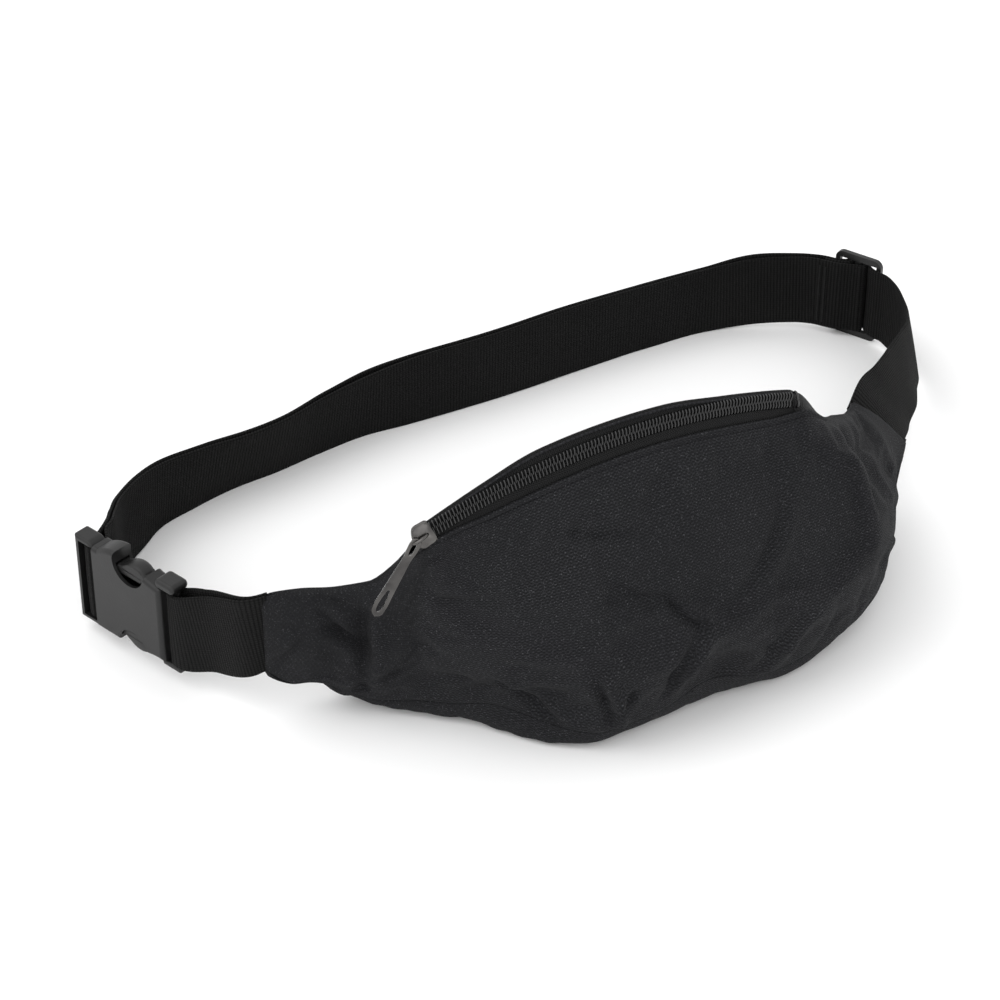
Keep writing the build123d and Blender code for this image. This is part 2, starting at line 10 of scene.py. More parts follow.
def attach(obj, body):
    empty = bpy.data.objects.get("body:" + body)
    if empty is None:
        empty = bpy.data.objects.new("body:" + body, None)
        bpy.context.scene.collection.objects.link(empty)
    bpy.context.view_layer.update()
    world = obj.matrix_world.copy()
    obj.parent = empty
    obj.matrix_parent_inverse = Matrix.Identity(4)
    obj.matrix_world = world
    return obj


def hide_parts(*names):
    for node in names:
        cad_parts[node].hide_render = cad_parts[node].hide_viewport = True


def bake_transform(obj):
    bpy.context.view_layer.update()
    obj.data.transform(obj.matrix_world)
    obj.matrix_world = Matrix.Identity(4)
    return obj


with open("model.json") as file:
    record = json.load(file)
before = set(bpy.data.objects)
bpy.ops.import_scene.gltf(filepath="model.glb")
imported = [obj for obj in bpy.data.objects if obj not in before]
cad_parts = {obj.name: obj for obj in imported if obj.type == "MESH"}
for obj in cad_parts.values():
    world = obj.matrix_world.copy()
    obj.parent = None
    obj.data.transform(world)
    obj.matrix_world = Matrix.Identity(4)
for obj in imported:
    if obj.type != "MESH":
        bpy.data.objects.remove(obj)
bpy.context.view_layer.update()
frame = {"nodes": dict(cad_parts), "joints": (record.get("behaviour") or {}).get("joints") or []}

MM = 0.001
MIRROR = np.array([1, -1])      # turns half an outline over
NODES = frame["nodes"]
JOINTS = {joint["name"]: joint for joint in frame["joints"]}
SCENE = bpy.context.scene


# ---------------- curves and meshes
def unit(v):
    """Unit vectors along the last axis."""
    v = np.asarray(v, float)
    return v / np.maximum(np.linalg.norm(v, axis=-1, keepdims=True), 1e-9)


def share(value):
    """A value held between 0 and 1."""
    return np.clip(value, 0, 1)


def bell(distance, width):
    """1 at no distance, falling away smoothly past a width."""
    return np.exp(-((distance / width) ** 2))


def slopes(knots, values, free):
    """Tangents at the knots: free ones round the corners, the others never overshoot."""
    step = np.diff(knots)
    step = step.reshape((-1,) + (1,) * (values.ndim - 1))
    rate = np.diff(values, axis=0) / step
    before, after = rate[:-1], rate[1:]
    if free:
        inner = (before * step[1:] + after * step[:-1]) / (step[1:] + step[:-1])
    else:
        same = before * after > 0
        weight_a = 2 * step[1:] + step[:-1]
        weight_b = step[1:] + 2 * step[:-1]
        safe_a = np.where(same, before, 1)
        safe_b = np.where(same, after, 1)
        inner = np.where(same, (weight_a + weight_b) / (weight_a / safe_a + weight_b / safe_b), 0)
    return np.concatenate([rate[:1], inner, rate[-1:]])


def smooth(knots, values, at, free=False):
    """Values between knots on smooth curves."""
    knots = np.asarray(knots, float)
    values = np.asarray(values, float)
    at = np.clip(np.asarray(at, float), knots[0], knots[-1])
    tangent = slopes(knots, values, free)
    i = np.clip(np.searchsorted(knots, at, side="right") - 1, 0, len(knots) - 2)
    h = knots[i + 1] - knots[i]
    t = (at - knots[i]) / h
    shape = (-1,) + (1,) * (values.ndim - 1)
    h, t = h.reshape(shape), t.reshape(shape)
    return (
        (2 * t**3 - 3 * t**2 + 1) * values[i]
        + (t**3 - 2 * t**2 + t) * h * tangent[i]
        + (3 * t**2 - 2 * t**3) * values[i + 1]
        + (t**3 - t**2) * h * tangent[i + 1]
    )


def lengths(points):
    """Distance along a chain of points, from 0."""
    return np.concatenate([[0], np.cumsum(np.linalg.norm(np.diff(points, axis=0), axis=1))])


def through(points, count):
    """Points on a smooth curve through the points given: evenly spaced, or at shares of its length."""
    points = np.asarray(points, float)
    knots = lengths(points)
    dense = smooth(knots, points, np.linspace(0, knots[-1], 40 * len(points)), free=True)
    run = lengths(dense)
    at = run[-1] * (np.linspace(0, 1, count) if np.ndim(count) == 0 else count)
    return np.stack([np.interp(at, run, dense[:, k]) for k in range(points.shape[1])], 1)


def add_object(name, data):
    """An object in the scene, for a mesh, a curve, a light or a camera."""
    added = bpy.data.objects.new(name, data)
    SCENE.collection.objects.link(added)
    return added


def make(name, points, faces, material, uvs=None):
    """A smooth-shaded mesh object from points in millimetres."""
    mesh = bpy.data.meshes.new(name)
    mesh.from_pydata([tuple(p) for p in np.asarray(points) * MM], [], faces)
    if uvs is not None:
        layer = mesh.uv_layers.new(name="weave")
        flat = np.asarray(uvs, float)[[i for face in faces for i in face]]
        layer.data.foreach_set("uv", flat.ravel())
    mesh.polygons.foreach_set("use_smooth", [True] * len(mesh.polygons))
    mesh.update()
    piece = add_object(name, mesh)
    piece.data.materials.append(material)
    return piece


def grid_faces(rows, columns, closed=False, flip=False):
    """Quads of a grid of rows by columns, closed across the columns if asked."""
    faces = []
    for i in range(rows - 1):
        for j in range(columns if closed else columns - 1):
            k = (j + 1) % columns
            low, high = i * columns, (i + 1) * columns
            quad = (low + j, low + k, high + k, high + j)
            faces.append(quad[::-1] if flip else quad)
    return faces


def shell_faces(rings, sides, flip=False):
    """Faces of a stack of rings: round its sides, then a cap at each end."""
    faces = grid_faces(rings, sides, closed=True, flip=flip)
    faces.append(tuple(range(sides)))
    faces.append(tuple(range((rings - 1) * sides, rings * sides)))
    return faces


def cloth_uv(along, across):
    """Cloth coordinates in millimetres for a grid, from distances along and across it."""
    return np.stack(np.meshgrid(along, across, indexing="ij"), -1)


def grid_uv(points):
    """Cloth coordinates of a grid, measured along its middle row and column."""
    rows, columns = points.shape[:2]
    return cloth_uv(lengths(points[:, columns // 2]), lengths(points[rows // 2])).reshape(-1, 2)


def add_bevel(piece, width):
    """Round the edges of a hard piece."""
    bevel = piece.modifiers.new("rounded", "BEVEL")
    bevel.width = width * MM
    bevel.segments = 3
    bevel.limit_method = "ANGLE"
    bevel.angle_limit = math.radians(35)
    bevel.harden_normals = True


def add_thickness(piece, amount):
    """Give a cloth surface its thickness, inwards."""
    solid = piece.modifiers.new("thickness", "SOLIDIFY")
    solid.thickness = amount * MM
    solid.offset = -1.0
    solid.use_even_offset = False


def tube_grid(path, radius, sides=8, flat=1.0, normal=(0, 0, 1)):
    """Rings round a path, and the faces that join and cap them."""
    path = np.asarray(path, float)
    ahead = unit(np.gradient(path, axis=0))
    across = unit(np.cross(ahead, np.asarray(normal, float)))
    out = unit(np.cross(across, ahead))
    turn = np.linspace(0, 2 * math.pi, sides, endpoint=False)
    rings = (
        path[:, None]
        + across[:, None] * (np.cos(turn) * radius)[:, None]
        + out[:, None] * (np.sin(turn) * radius * flat)[:, None]
    )
    return rings.reshape(-1, 3), shell_faces(len(path), sides, flip=True)


def raised(ring, z):
    """A flat ring of points, put at a height."""
    return np.column_stack([ring, np.full(len(ring), z)])


def outward(piece):
    """Turn the faces of closed shells to point out."""
    work = bmesh.new()
    work.from_mesh(piece.data)
    bmesh.ops.recalc_face_normals(work, faces=work.faces)
    work.to_mesh(piece.data)
    work.free()
    return piece


def joined(name, parts, material):
    """One mesh from several (points, faces) parts."""
    faces, start = [], 0
    for points, part_faces in parts:
        faces += [tuple(i + start for i in face) for face in part_faces]
        start += len(points)
    return outward(make(name, np.concatenate([points for points, _ in parts]), faces, material))


# ---------------- materials
class Paint:
    """A material under construction, with short calls for its nodes."""

    def __init__(self, name):
        self.material = bpy.data.materials.new(name)
        self.material.use_nodes = True
        self.tree = self.material.node_tree
        self.shader = self.tree.nodes["Principled BSDF"]

    def feed(self, socket, value):
        """Set a socket to a number or a colour, or link another node's output to it."""
        if isinstance(value, tuple):
            socket.default_value = (*value, 1)
        elif isinstance(value, (int, float)):
            socket.default_value = value
        else:
            self.tree.links.new(value, socket)

    def node(self, kind, inputs, **settings):
        """A node with its settings, and its inputs fed by name or by number."""
        made = self.tree.nodes.new(kind)
        for key, value in settings.items():
            setattr(made, key, value)
        for key, value in inputs.items():
            self.feed(made.inputs[key], value)
        return made

    def math(self, operation, *values):
        return self.node("ShaderNodeMath", dict(enumerate(values)), operation=operation).outputs[0]

    def cloth_axes(self):
        """The two cloth coordinates, in millimetres."""
        source = self.node("ShaderNodeUVMap", {}, uv_map="weave")
        split = self.node("ShaderNodeSeparateXYZ", {0: source.outputs[0]})
        return split.outputs[0], split.outputs[1]

    def wave(self, value, pitch):
        """A sine along a coordinate, with a crown or a dip at each pitch."""
        return self.math("SINE", self.math("MULTIPLY", value, math.pi / pitch))

    def ridges(self, value, pitch):
        """Rounded ridges at a pitch along a coordinate: 0 between them, 1 on top."""
        return self.math("ABSOLUTE", self.wave(value, pitch))

    def noise(self, scale, detail=3.0, rough=0.55):
        """Noise in the frame's metres."""
        where = self.node("ShaderNodeTexCoord", {}).outputs["Object"]
        inputs = {"Vector": where, "Scale": scale, "Detail": detail, "Roughness": rough}
        return self.node("ShaderNodeTexNoise", inputs).outputs["Fac"]

    def ramp(self, value, *stops):
        """Colours between two stops, each a position and a colour."""
        made = self.node("ShaderNodeValToRGB", {0: value})
        for element, (position, colour) in zip(made.color_ramp.elements, stops):
            element.position, element.color = position, (*colour, 1)
        return made.outputs[0]

    def mix(self, factor, a, b, blend="MIX"):
        inputs = {0: factor, 6: a, 7: b}
        return self.node("ShaderNodeMix", inputs, data_type="RGBA", blend_type=blend).outputs[2]

    def bump(self, height, distance, strength=1.0, after=None):
        """Bumps of a height in millimetres, on top of another bump if given."""
        inputs = {"Distance": distance * MM, "Strength": strength, "Height": height}
        if after is not None:
            inputs["Normal"] = after
        return self.node("ShaderNodeBump", inputs).outputs[0]

    def finish(self, colour, rough, normal=None, **sockets):
        """The material, with its shader's sockets fed; underscores in their names are spaces."""
        sockets = {"Base_Color": colour, "Roughness": rough, **sockets}
        if normal is not None:
            sockets["Normal"] = normal
        for name, value in sockets.items():
            self.feed(self.shader.inputs[name.replace("_", " ")], value)
        return self.material


def grey(value):
    """A colour without a hue."""
    return (value, value, value)


BLACK = grey(0)


def bag_cloth():
    """Black nylon in a coarse plain weave, painted darker in the dips of the weave and its rows as
    shade, with fine painted highlights as bright flecks.
    """
    paint = Paint("bag_cloth")
    u, v = paint.cloth_axes()
    crowns = paint.math("MULTIPLY", paint.wave(u, 1.05), paint.wave(v, 0.8))
    weave = paint.math("MULTIPLY_ADD", crowns, 0.5, 0.5)
    row = paint.ridges(v, 1.3)
    glint_spots = paint.noise(1600.0, 2.0, 0.75)
    patch = paint.noise(16.0, 4.0)
    shade = paint.ramp(patch, (0.3, (0.0195, 0.0198, 0.0222)), (0.7, (0.0290, 0.0293, 0.0320)))
    # painted shade: the yarn colour is darker where the weave and its rows dip
    yarn = paint.mix(weave, (0.0045, 0.0046, 0.0052), shade)
    yarn = paint.mix(row, (0.0065, 0.0066, 0.0074), yarn)
    # painted highlights: bright glints added to the colour where the glint spots peak
    glint = paint.ramp(glint_spots, (0.60, BLACK), (0.74, (0.150, 0.150, 0.160)))
    colour = paint.mix(0.5, yarn, glint, "ADD")
    height = paint.math("ADD", weave, paint.math("MULTIPLY", row, 0.7))
    height = paint.math("ADD", height, paint.math("MULTIPLY", glint_spots, 0.6))
    soft = paint.bump(paint.noise(130.0, 3.0), 0.6, 0.5)
    fine = paint.bump(height, 0.22, 1.0, soft)
    return paint.finish(
        colour, 0.85, fine, Sheen_Weight=0.015, Sheen_Roughness=0.5, Specular_IOR_Level=0.14
    )


def ribbed_webbing():
    """Black webbing: firm ribs across it, broken into single stitches, with painted shade in the
    grooves and faint painted glints.
    """
    paint = Paint("ribbed_webbing")
    u, v = paint.cloth_axes()
    rib = paint.math("POWER", paint.ridges(u, 1.6), 0.7)
    stitch = paint.math("MULTIPLY_ADD", paint.ridges(v, 1.1), 0.5, 0.5)
    height = paint.math("MULTIPLY", rib, stitch)
    fuzz_and_glint = paint.noise(1200.0, 2.0, 0.7)
    patch = paint.noise(20.0, 4.0)
    shade = paint.ramp(patch, (0.3, grey(0.0085)), (0.7, (0.0135, 0.0135, 0.0132)))
    # painted shade: near black in the grooves between the ribs and stitches
    colour = paint.mix(height, grey(0.0006), shade)
    # painted highlights: faint glints added to the colour where the fuzz peaks
    glint = paint.ramp(fuzz_and_glint, (0.62, BLACK), (0.76, grey(0.030)))
    colour = paint.mix(0.4, colour, glint, "ADD")
    height = paint.math("ADD", height, paint.math("MULTIPLY", fuzz_and_glint, 0.35))
    ribs = paint.bump(height, 0.6)
    return paint.finish(
        colour, 0.85, ribs, Sheen_Weight=0.008, Sheen_Roughness=0.5, Specular_IOR_Level=0.10
    )


def zip_tape_cloth():
    """Black zip tape in a fine herringbone, painted darker in its dips as shade."""
    paint = Paint("zip_tape_cloth")
    u, v = paint.cloth_axes()
    zig = paint.math("PINGPONG", v, 1.3)
    slant = paint.math("ADD", u, paint.math("MULTIPLY", zig, 1.2))
    height = paint.ridges(slant, 1.15)
    # painted shade: the tape is darker where the herringbone dips
    shade = paint.ramp(height, (0.1, grey(0.0025)), (0.9, (0.0120, 0.0120, 0.0122)))
    bone = paint.bump(height, 0.25)
    return paint.finish(shade, 0.65, bone, Sheen_Weight=0.02, Specular_IOR_Level=0.15)


def plastic(name, dark, light, rough):
    """Moulded black plastic with a fine spark-eroded grain."""
    paint = Paint(name)
    speck = paint.noise(900.0, 2.0, 0.6)
    worn = paint.noise(60.0, 4.0)
    colour = paint.ramp(worn, (0.3, dark), (0.75, light))
    roughness = paint.math("MULTIPLY_ADD", worn, 0.18, rough)
    return paint.finish(colour, roughness, paint.bump(speck, 0.05), Specular_IOR_Level=0.4)


def coil_plastic():
    """Glossy black nylon coil."""
    paint = Paint("coil_plastic")
    speck = paint.noise(500.0, 2.0)
    colour = paint.ramp(speck, (0.35, (0.0020, 0.0020, 0.0022)), (0.7, (0.005, 0.005, 0.0053)))
    return paint.finish(colour, 0.2, Specular_IOR_Level=0.6)


def plated_metal():
    """Dark nickel plating with faint polishing marks."""
    paint = Paint("plated_metal")
    marks = paint.noise(700.0, 3.0, 0.6)
    patch = paint.noise(90.0, 3.0)
    tone = paint.ramp(patch, (0.3, (0.055, 0.053, 0.053)), (0.7, (0.13, 0.125, 0.12)))
    rough = paint.math("MULTIPLY_ADD", marks, 0.14, 0.10)
    return paint.finish(tone, rough, paint.bump(marks, 0.02), Metallic=1.0)


def thread_cloth():
    """Black polyester sewing thread."""
    paint = Paint("thread_cloth")
    twist = paint.noise(2500.0, 2.0)
    colour = paint.ramp(twist, (0.3, grey(0.003)), (0.7, grey(0.009)))
    bumps = paint.bump(twist, 0.1)
    return paint.finish(colour, 0.55, bumps, Sheen_Weight=0.02, Specular_IOR_Level=0.15)


def floor_paint():
    """Plain white studio floor."""
    paint = Paint("studio_floor")
    colour = paint.ramp(paint.noise(2.0), (0.3, grey(0.95)), (0.7, grey(0.965)))
    return paint.finish(colour, 0.9, Specular_IOR_Level=0.1)


CLOTH = bag_cloth()
WEBBING = ribbed_webbing()
TAPE = zip_tape_cloth()
COIL = coil_plastic()
METAL = plated_metal()
BUCKLE_SKIN = plastic("buckle_plastic", (0.0045, 0.0044, 0.0045), (0.0078, 0.0076, 0.0076), 0.36)
GLIDE_SKIN = plastic("glide_plastic", grey(0.006), (0.0095, 0.0095, 0.0093), 0.32)
THREAD = thread_cloth()

# ---------------- zip frame, as in the model
ZIP_R = 210.0
ZIP_LEAN = math.radians(16.7)
ZIP_FROM, ZIP_TO = -28.9, 20.3
SLIDER_AT = -28.6
ARCH_UP = np.array([0, -math.sin(ZIP_LEAN), math.cos(ZIP_LEAN)])
ARCH_TOP = np.array([-3.0, 0, 129.0])
ARCH_CENTRE = ARCH_TOP - ARCH_UP * ZIP_R
ALONG_X = np.array([1.0, 0, 0])
HEM_LIFT = 0.2                  # how far the cloth's edge stands off the tapes
# the zip's surface rolls over to the rear as it goes down its open end
ROLL_AT = [-28.9, 6, 15, 18.6, 19.4, 20.3]
ROLL_TO = [-46.6, -46.6, -46.6, -47, -52, -70]
# how far the tapes reach each side of the chain
REACH_AT = [-28.9, -25, -20, -13, 2, 10, 16, 20.3]
REACH_FRONT = [3.6, 4.8, 6.6, 7.2, 7.4, 7.6, 7, 4.6]
REACH_REAR = [2.4, 3.2, 4.6, 6.8, 6, 4, 3.5, 3.4]


def arch_axes(angle):
    """Point of the chain at arch angles in degrees, with its directions along, across and out."""
    angle = np.asarray(angle, float)
    a = np.radians(angle)[..., None]
    roll = np.radians(smooth(ROLL_AT, ROLL_TO, angle.reshape(-1)).reshape(a.shape))
    radial = ARCH_UP * np.cos(a) + ALONG_X * np.sin(a)
    along = ALONG_X * np.cos(a) - ARCH_UP * np.sin(a)
    side = np.cross(along, radial)
    across = radial * np.cos(roll) + side * np.sin(roll)
    out = side * np.cos(roll) - radial * np.sin(roll)
    return ARCH_CENTRE + radial * ZIP_R, along, across, out


def reach(angle, side):
    """Half width of the zip at arch angles, to the front or the rear."""
    angle = np.asarray(angle, float)
    widths = REACH_FRONT if side < 0 else REACH_REAR
    return smooth(REACH_AT, widths, angle.reshape(-1)).reshape(angle.shape)


def hem_line(side):
    """The edge of the bag's cloth on one side of the zip, from end to end."""
    angles = np.linspace(ZIP_FROM, ZIP_TO, 200)
    base, _, across, out = arch_axes(angles)
    return base + across * (side * reach(angles, side))[:, None] + out * HEM_LIFT


HEM = {side: hem_line(side) for side in (-1, 1)}


def hem_at(side, x):
    """Y and z of the cloth's edge where it crosses a station x."""
    line = HEM[side]
    return np.stack([np.interp(x, line[:, 0], line[:, k]) for k in (1, 2)], -1)


# ---------------- bag body
# x, front y, rear y, underside z, top z, top y; without a top the section reaches the zip's arch
STATIONS = [
    (-157.5, 48, 52, 25.5, 60.8, 50.2),
    (-153.5, 46.4, 52.3, 21.8, 63.4, 49.8),
    (-149, 44.6, 52.6, 19.4, 63.8, 49.2),
    (-141, 42, 53, 16, 63, 48.5),
    (-125, 32, 53, 8, 60, 46),
    (-114, 24, 52, 4.5, 65, 37),
    (-108, 19.5, 52, 3.5, 80, 25),
    (-101, 14, 51, 2.5),
    (-88, 0, 50, 1.5),
    (-66, -21, 50, 0.4),
    (-40, -37, 49, 0.4),
    (0, -43, 48, 0.4),
    (40, -40, 49, 0.4),
    (70, -34, 50, 2),
    (88, -28.5, 51, 5, 97.5, 11.5),
    (102, -21, 52, 8, 86, 24),
    (115, -10, 53, 12, 75, 36),
    (127, 6, 56, 19, 64, 49),
]
TIP_TOP = np.array([143.0, 66, 54])
TIP_BOTTOM = np.array([170.0, 61, 27])
TIP_HALF_T = 2.0
TIP_AHEAD = np.array([0.55, 0.78, 0.35])        # where the adjuster end points
INSIDE = np.array([0, 15.0, 60.0])              # a point in the bag that outer faces turn away from
CLOTH_T = 0.9
FLOOR_GAP = 0.15                # the lowest that the underside's cloth lies
COLUMNS = 210
# rows up a panel, closer together at the seam and at the hem
FRONT_UP = np.concatenate([[0, 0.008, 0.018], np.linspace(0.03, 0.962, 76), np.linspace(0.967, 1, 15)])
REAR_UP = np.concatenate([[0, 0.008, 0.018], np.linspace(0.03, 0.97, 80), np.linspace(0.98, 1, 5)])


def bag_section(x, front, rear, low, top=None, top_y=None):
    """Outlines of the front and the rear half of one cross section, from the bottom seam up."""
    if top is None:
        front_top, rear_top = hem_at(-1, x), hem_at(1, x)
    else:
        front_top, rear_top = np.array([top_y - 0.2, top]), np.array([top_y + 0.2, top])
    deep = rear - front
    high = front_top[1] - low
    span = front_top[0] - front
    seam = (front + 0.03 * deep, low + 0.08 * high)
    if top is None:
        crown = [(front + 0.26 * span, low + 0.68 * high)]
    else:
        crown = [(front + 0.08 * span, low + 0.66 * high), (front + 0.4 * span, low + 0.93 * high)]
    front_half = [seam, (front, low + 0.3 * high), *crown, front_top]
    rear_half = [
        seam,
        (front + 0.1 * deep, low + 0.012 * high),
        (front + 0.24 * deep, low),
        (front + 0.5 * deep, low),
        (front + 0.76 * deep, low),
        (rear - 0.08 * deep, low + 0.03 * high),
        (rear, low + 0.3 * high),
        (rear_top[0] + 0.74 * (rear - rear_top[0]), low + 0.64 * high),
        (rear_top[0] + 0.12 * (rear - rear_top[0]), rear_top[1] - 0.075 * high),
        rear_top,
    ]
    return front_half, rear_half


def tip_section():
    """The same two outlines at the leaning adjuster end, as points in the frame."""
    up = unit(TIP_TOP - TIP_BOTTOM)
    along = unit(TIP_AHEAD - up * TIP_AHEAD.dot(up))
    across = np.cross(up, along)
    middle = (TIP_TOP + TIP_BOTTOM) / 2
    half = np.linalg.norm(TIP_TOP - TIP_BOTTOM) / 2
    t = TIP_HALF_T
    front = [(-0.4 * t, -half), (-t, -0.4 * half), (-t, 0.4 * half), (0, half)]
    rear = [(-0.4 * t, -half), (0.7 * t, -0.8 * half), (t, -0.3 * half)]
    rear += [(t, 0.4 * half), (0.5 * t, 0.9 * half), (0, half)]
    return [[middle + across * a + up * b for a, b in outline] for outline in (front, rear)]


def bag_grids():
    """Points of the front and rear surfaces, columns along the bag and rows up the outline."""
    outlines = []
    for row in STATIONS:
        halves = bag_section(*row)
        outlines.append([[(row[0], y, z) for y, z in half] for half in halves])
    outlines.append(tip_section())
    centres = [(row[0], (row[1] + row[2]) / 2, 40.0) for row in STATIONS]
    centres.append(tuple((TIP_TOP + TIP_BOTTOM) / 2))
    knots = lengths(np.array(centres))
    at = np.linspace(0, knots[-1], COLUMNS)
    grids = []
    for side, spread in ((0, FRONT_UP), (1, REAR_UP)):
        sheets = np.array([through(outline[side], spread) for outline in outlines])
        grid = smooth(knots, sheets, at, free=False)
        line = HEM[2 * side - 1]
        x = grid[:, -1, 0]
        inside = (x > line[0, 0]) & (x < line[-1, 0])
        miss = np.where(inside[:, None], hem_at(2 * side - 1, x) - grid[:, -1, 1:], 0)
        grid[..., 1:] += miss[:, None] * (share((spread - 0.7) / 0.3) ** 2)[None, :, None]
        grids.append(grid)
    return grids


def grid_normals(grid):
    """Unit normals of a grid, turned away from the inside of the bag."""
    along = np.gradient(grid, axis=0)
    up = np.gradient(grid, axis=1)
    normal = unit(np.cross(along, up))
    if (normal * (grid - INSIDE)).sum() < 0:
        normal = -normal
    return normal


CREASE_POINTS = 24


def crease(grid, normal, line, depth, width, ridge, lean):
    """Push a groove with a ridge beside it into a surface, along a line of points."""
    line = through(line, CREASE_POINTS)
    flat = grid.reshape(-1, 3)
    gap = flat[:, None] - line[None]
    distance = np.linalg.norm(gap, axis=2)
    nearest = distance.argmin(1)
    pairs = np.arange(len(flat)), nearest
    ahead = unit(np.gradient(line, axis=0))[nearest]
    side = np.cross(normal.reshape(-1, 3), ahead)
    signed = (side * gap[pairs]).sum(1) * lean
    fade = np.sin(share(nearest / (CREASE_POINTS - 1)) * math.pi) ** 0.6
    past = np.sqrt(np.maximum(distance[pairs] ** 2 - signed**2, 0))
    shape = -bell(signed, width) + ridge * bell(signed - 1.7 * width, 1.2 * width)
    shape = shape * bell(past, 1.5 * width) * np.maximum(fade, 0.12)
    return (depth * shape).reshape(grid.shape[:2])


def rumple(grid, scale, seed):
    """Smooth noise over a surface, about -1 to 1."""
    flat = grid.reshape(-1, 3) / scale
    values = [noise.noise(Vector(p) + Vector((seed, 0, 0))) for p in flat]
    return np.array(values).reshape(grid.shape[:2]) * 1.6


# line, depth, width, ridge beside it and the side that the ridge is on
FRONT_CREASES = [
    ([(-119, 33, 57), (-122, 31, 46), (-121, 29, 32), (-122, 31, 14)], 6.5, 3.2, 0.5, 1),
    ([(-136, 41, 47), (-129, 36, 43), (-122, 30, 35)], 3.4, 2.4, 0.4, -1),
    ([(-156, 48, 28), (-149, 45, 36), (-142, 43, 45)], 2.2, 2.0, 0.7, 1),
    ([(-137, 41, 57), (-131, 38, 47), (-125, 34, 38)], 2.4, 2.2, 0.7, 1),
    ([(-121, 31, 15), (-112, 23, 26), (-101, 13, 40)], 3.2, 4.2, 1.0, 1),
    ([(-35, -28, 80), (-26, -32, 74), (-12, -36, 70)], 3.0, 1.8, 0.6, 1),
    ([(-14, -36, 72), (-8, -39, 60), (4, -41, 51)], 4.4, 2.0, 0.8, 1),
    ([(-47, -33, 42), (-43, -36, 26), (-40, -37, 8)], 5.4, 2.6, 0.9, 1),
    ([(-30, -38, 34), (-36, -38, 24), (-42, -37, 19)], 3.4, 2.2, 0.8, -1),
    ([(-80, -6, 34), (-68, -18, 20), (-57, -25, 8)], 3.6, 3.0, 0.7, 1),
    ([(-54, -12, 102), (-37, -19, 99), (-20, -22, 98)], 2.4, 2.4, 0.7, 1),
    ([(-17, -41, 18), (-12, -42, 36), (-2, -42, 53)], 4.2, 3.0, 0.8, -1),
    ([(53, -18, 96), (48, -26, 85), (36, -35, 71), (16, -40, 57)], 2.8, 3.0, 0.7, 1),
    ([(92, -6, 93), (104, 2, 86), (120, 18, 72), (136, 36, 56)], 3.4, 4.0, 0.3, -1),
    ([(119, 6, 50), (113, -4, 32), (103, -16, 15)], 2.2, 3.6, 0.6, 1),
    ([(28, -42, 10), (36, -41, 26), (50, -38, 42)], 3.2, 3.6, 0.6, -1),
    ([(62, -35, 14), (68, -34, 28), (66, -34, 44)], 1.6, 3.4, 0.6, 1),
    ([(-92, 4, 70), (-80, -4, 62), (-66, -14, 60)], 1.3, 3.4, 0.6, 1),
]
REAR_CREASES = [
    ([(-118, 52, 20), (-106, 52, 36), (-88, 50, 52)], 2.6, 3.2, 0.7, 1),
    ([(-60, 49, 18), (-48, 49, 40), (-44, 46, 66)], 2.0, 3.6, 0.7, 1),
    ([(30, 48, 14), (44, 48, 34), (50, 46, 60)], 2.2, 3.6, 0.7, -1),
    ([(112, 53, 24), (98, 52, 40), (82, 50, 50)], 2.6, 3.2, 0.7, 1),
    ([(-20, 40, 92), (0, 40, 88), (26, 39, 93)], 1.8, 3.2, 0.7, 1),
    ([(-16, 49, 10), (-10, 48, 26), (4, 48, 38)], 1.6, 3.0, 0.7, 1),
]
# wide hollows (positive depth) and swellings (negative) at a point
FRONT_HOLLOWS = [
    ((-60, -23, 30), 3.6, 14),
    ((-90, 2, 26), 2.6, 12),
    ((-40, -37, 16), -3.4, 12),
    ((10, -42, 60), 2, 16),
    ((-10, -30, 92), -1.2, 20),
    ((66, -33, 50), -2.2, 22),
    ((-142, 43, 36), -3, 10),
    ((-100, 13, 66), -2.2, 14),
    ((16, -41, 22), 2.6, 12),
]
# where along the bag the bottom seam moves, how wide, and how far in y and z
SEAM_SHIFTS = [
    (-48, 14, -4.5, 0),
    (-78, 14, 3, 5),
    (8, 20, 4, 7),
    (-148, 8, 0, -4),
]


def end_fold(grid):
    """The folded cloth at the ends of the wings stands a little proud of the strap."""
    from_start = lengths(grid.mean(1))[:, None]
    from_end = from_start[-1] - from_start
    near = np.minimum(from_start, from_end)
    return 1.1 * np.sqrt(share(near / 1.2)) * bell(near, 9.0)


def seam_shift(grid, rows, reach_up):
    """Sag of the cloth along the bottom seam: out and down in places, up and back in others."""
    x = grid[..., 0]
    fade = bell(rows, reach_up)
    shift = np.zeros_like(grid)
    for centre, width, y, z in SEAM_SHIFTS:
        sag = bell(x - centre, width) * fade
        shift[..., 1] += y * sag
        shift[..., 2] += z * sag
    return shift


def held_back(rows, columns, hem):
    """What creases are multiplied by: 0 at the seam, the hem and both ends, and 1 inside."""
    hold = share(rows / 0.03) * share((1 - rows) / hem)
    return hold * share(columns / 0.03) * share((1 - columns) / 0.04)


def seam_groove(rows, columns, depth):
    """The cloth is drawn in along the bottom seam."""
    return depth * bell(rows, 0.012) * share(columns / 0.02)


def hem_fold(grid, rows):
    """The cloth's folded edge along the zip, with its line of stitches."""
    from_hem = (1 - rows) * np.linalg.norm(np.diff(grid, axis=1), axis=2).sum(1)[:, None]
    stitches = bell(from_hem - 2.7, 0.45)
    fold = 0.8 / (1 + np.exp((from_hem - 2.1) / 0.2)) - 0.45 * stitches
    fold = fold * share(from_hem / 0.5) ** 0.5
    x = grid[..., 0]
    return fold * (share((x + 112) / 8) * share((96 - x) / 10))


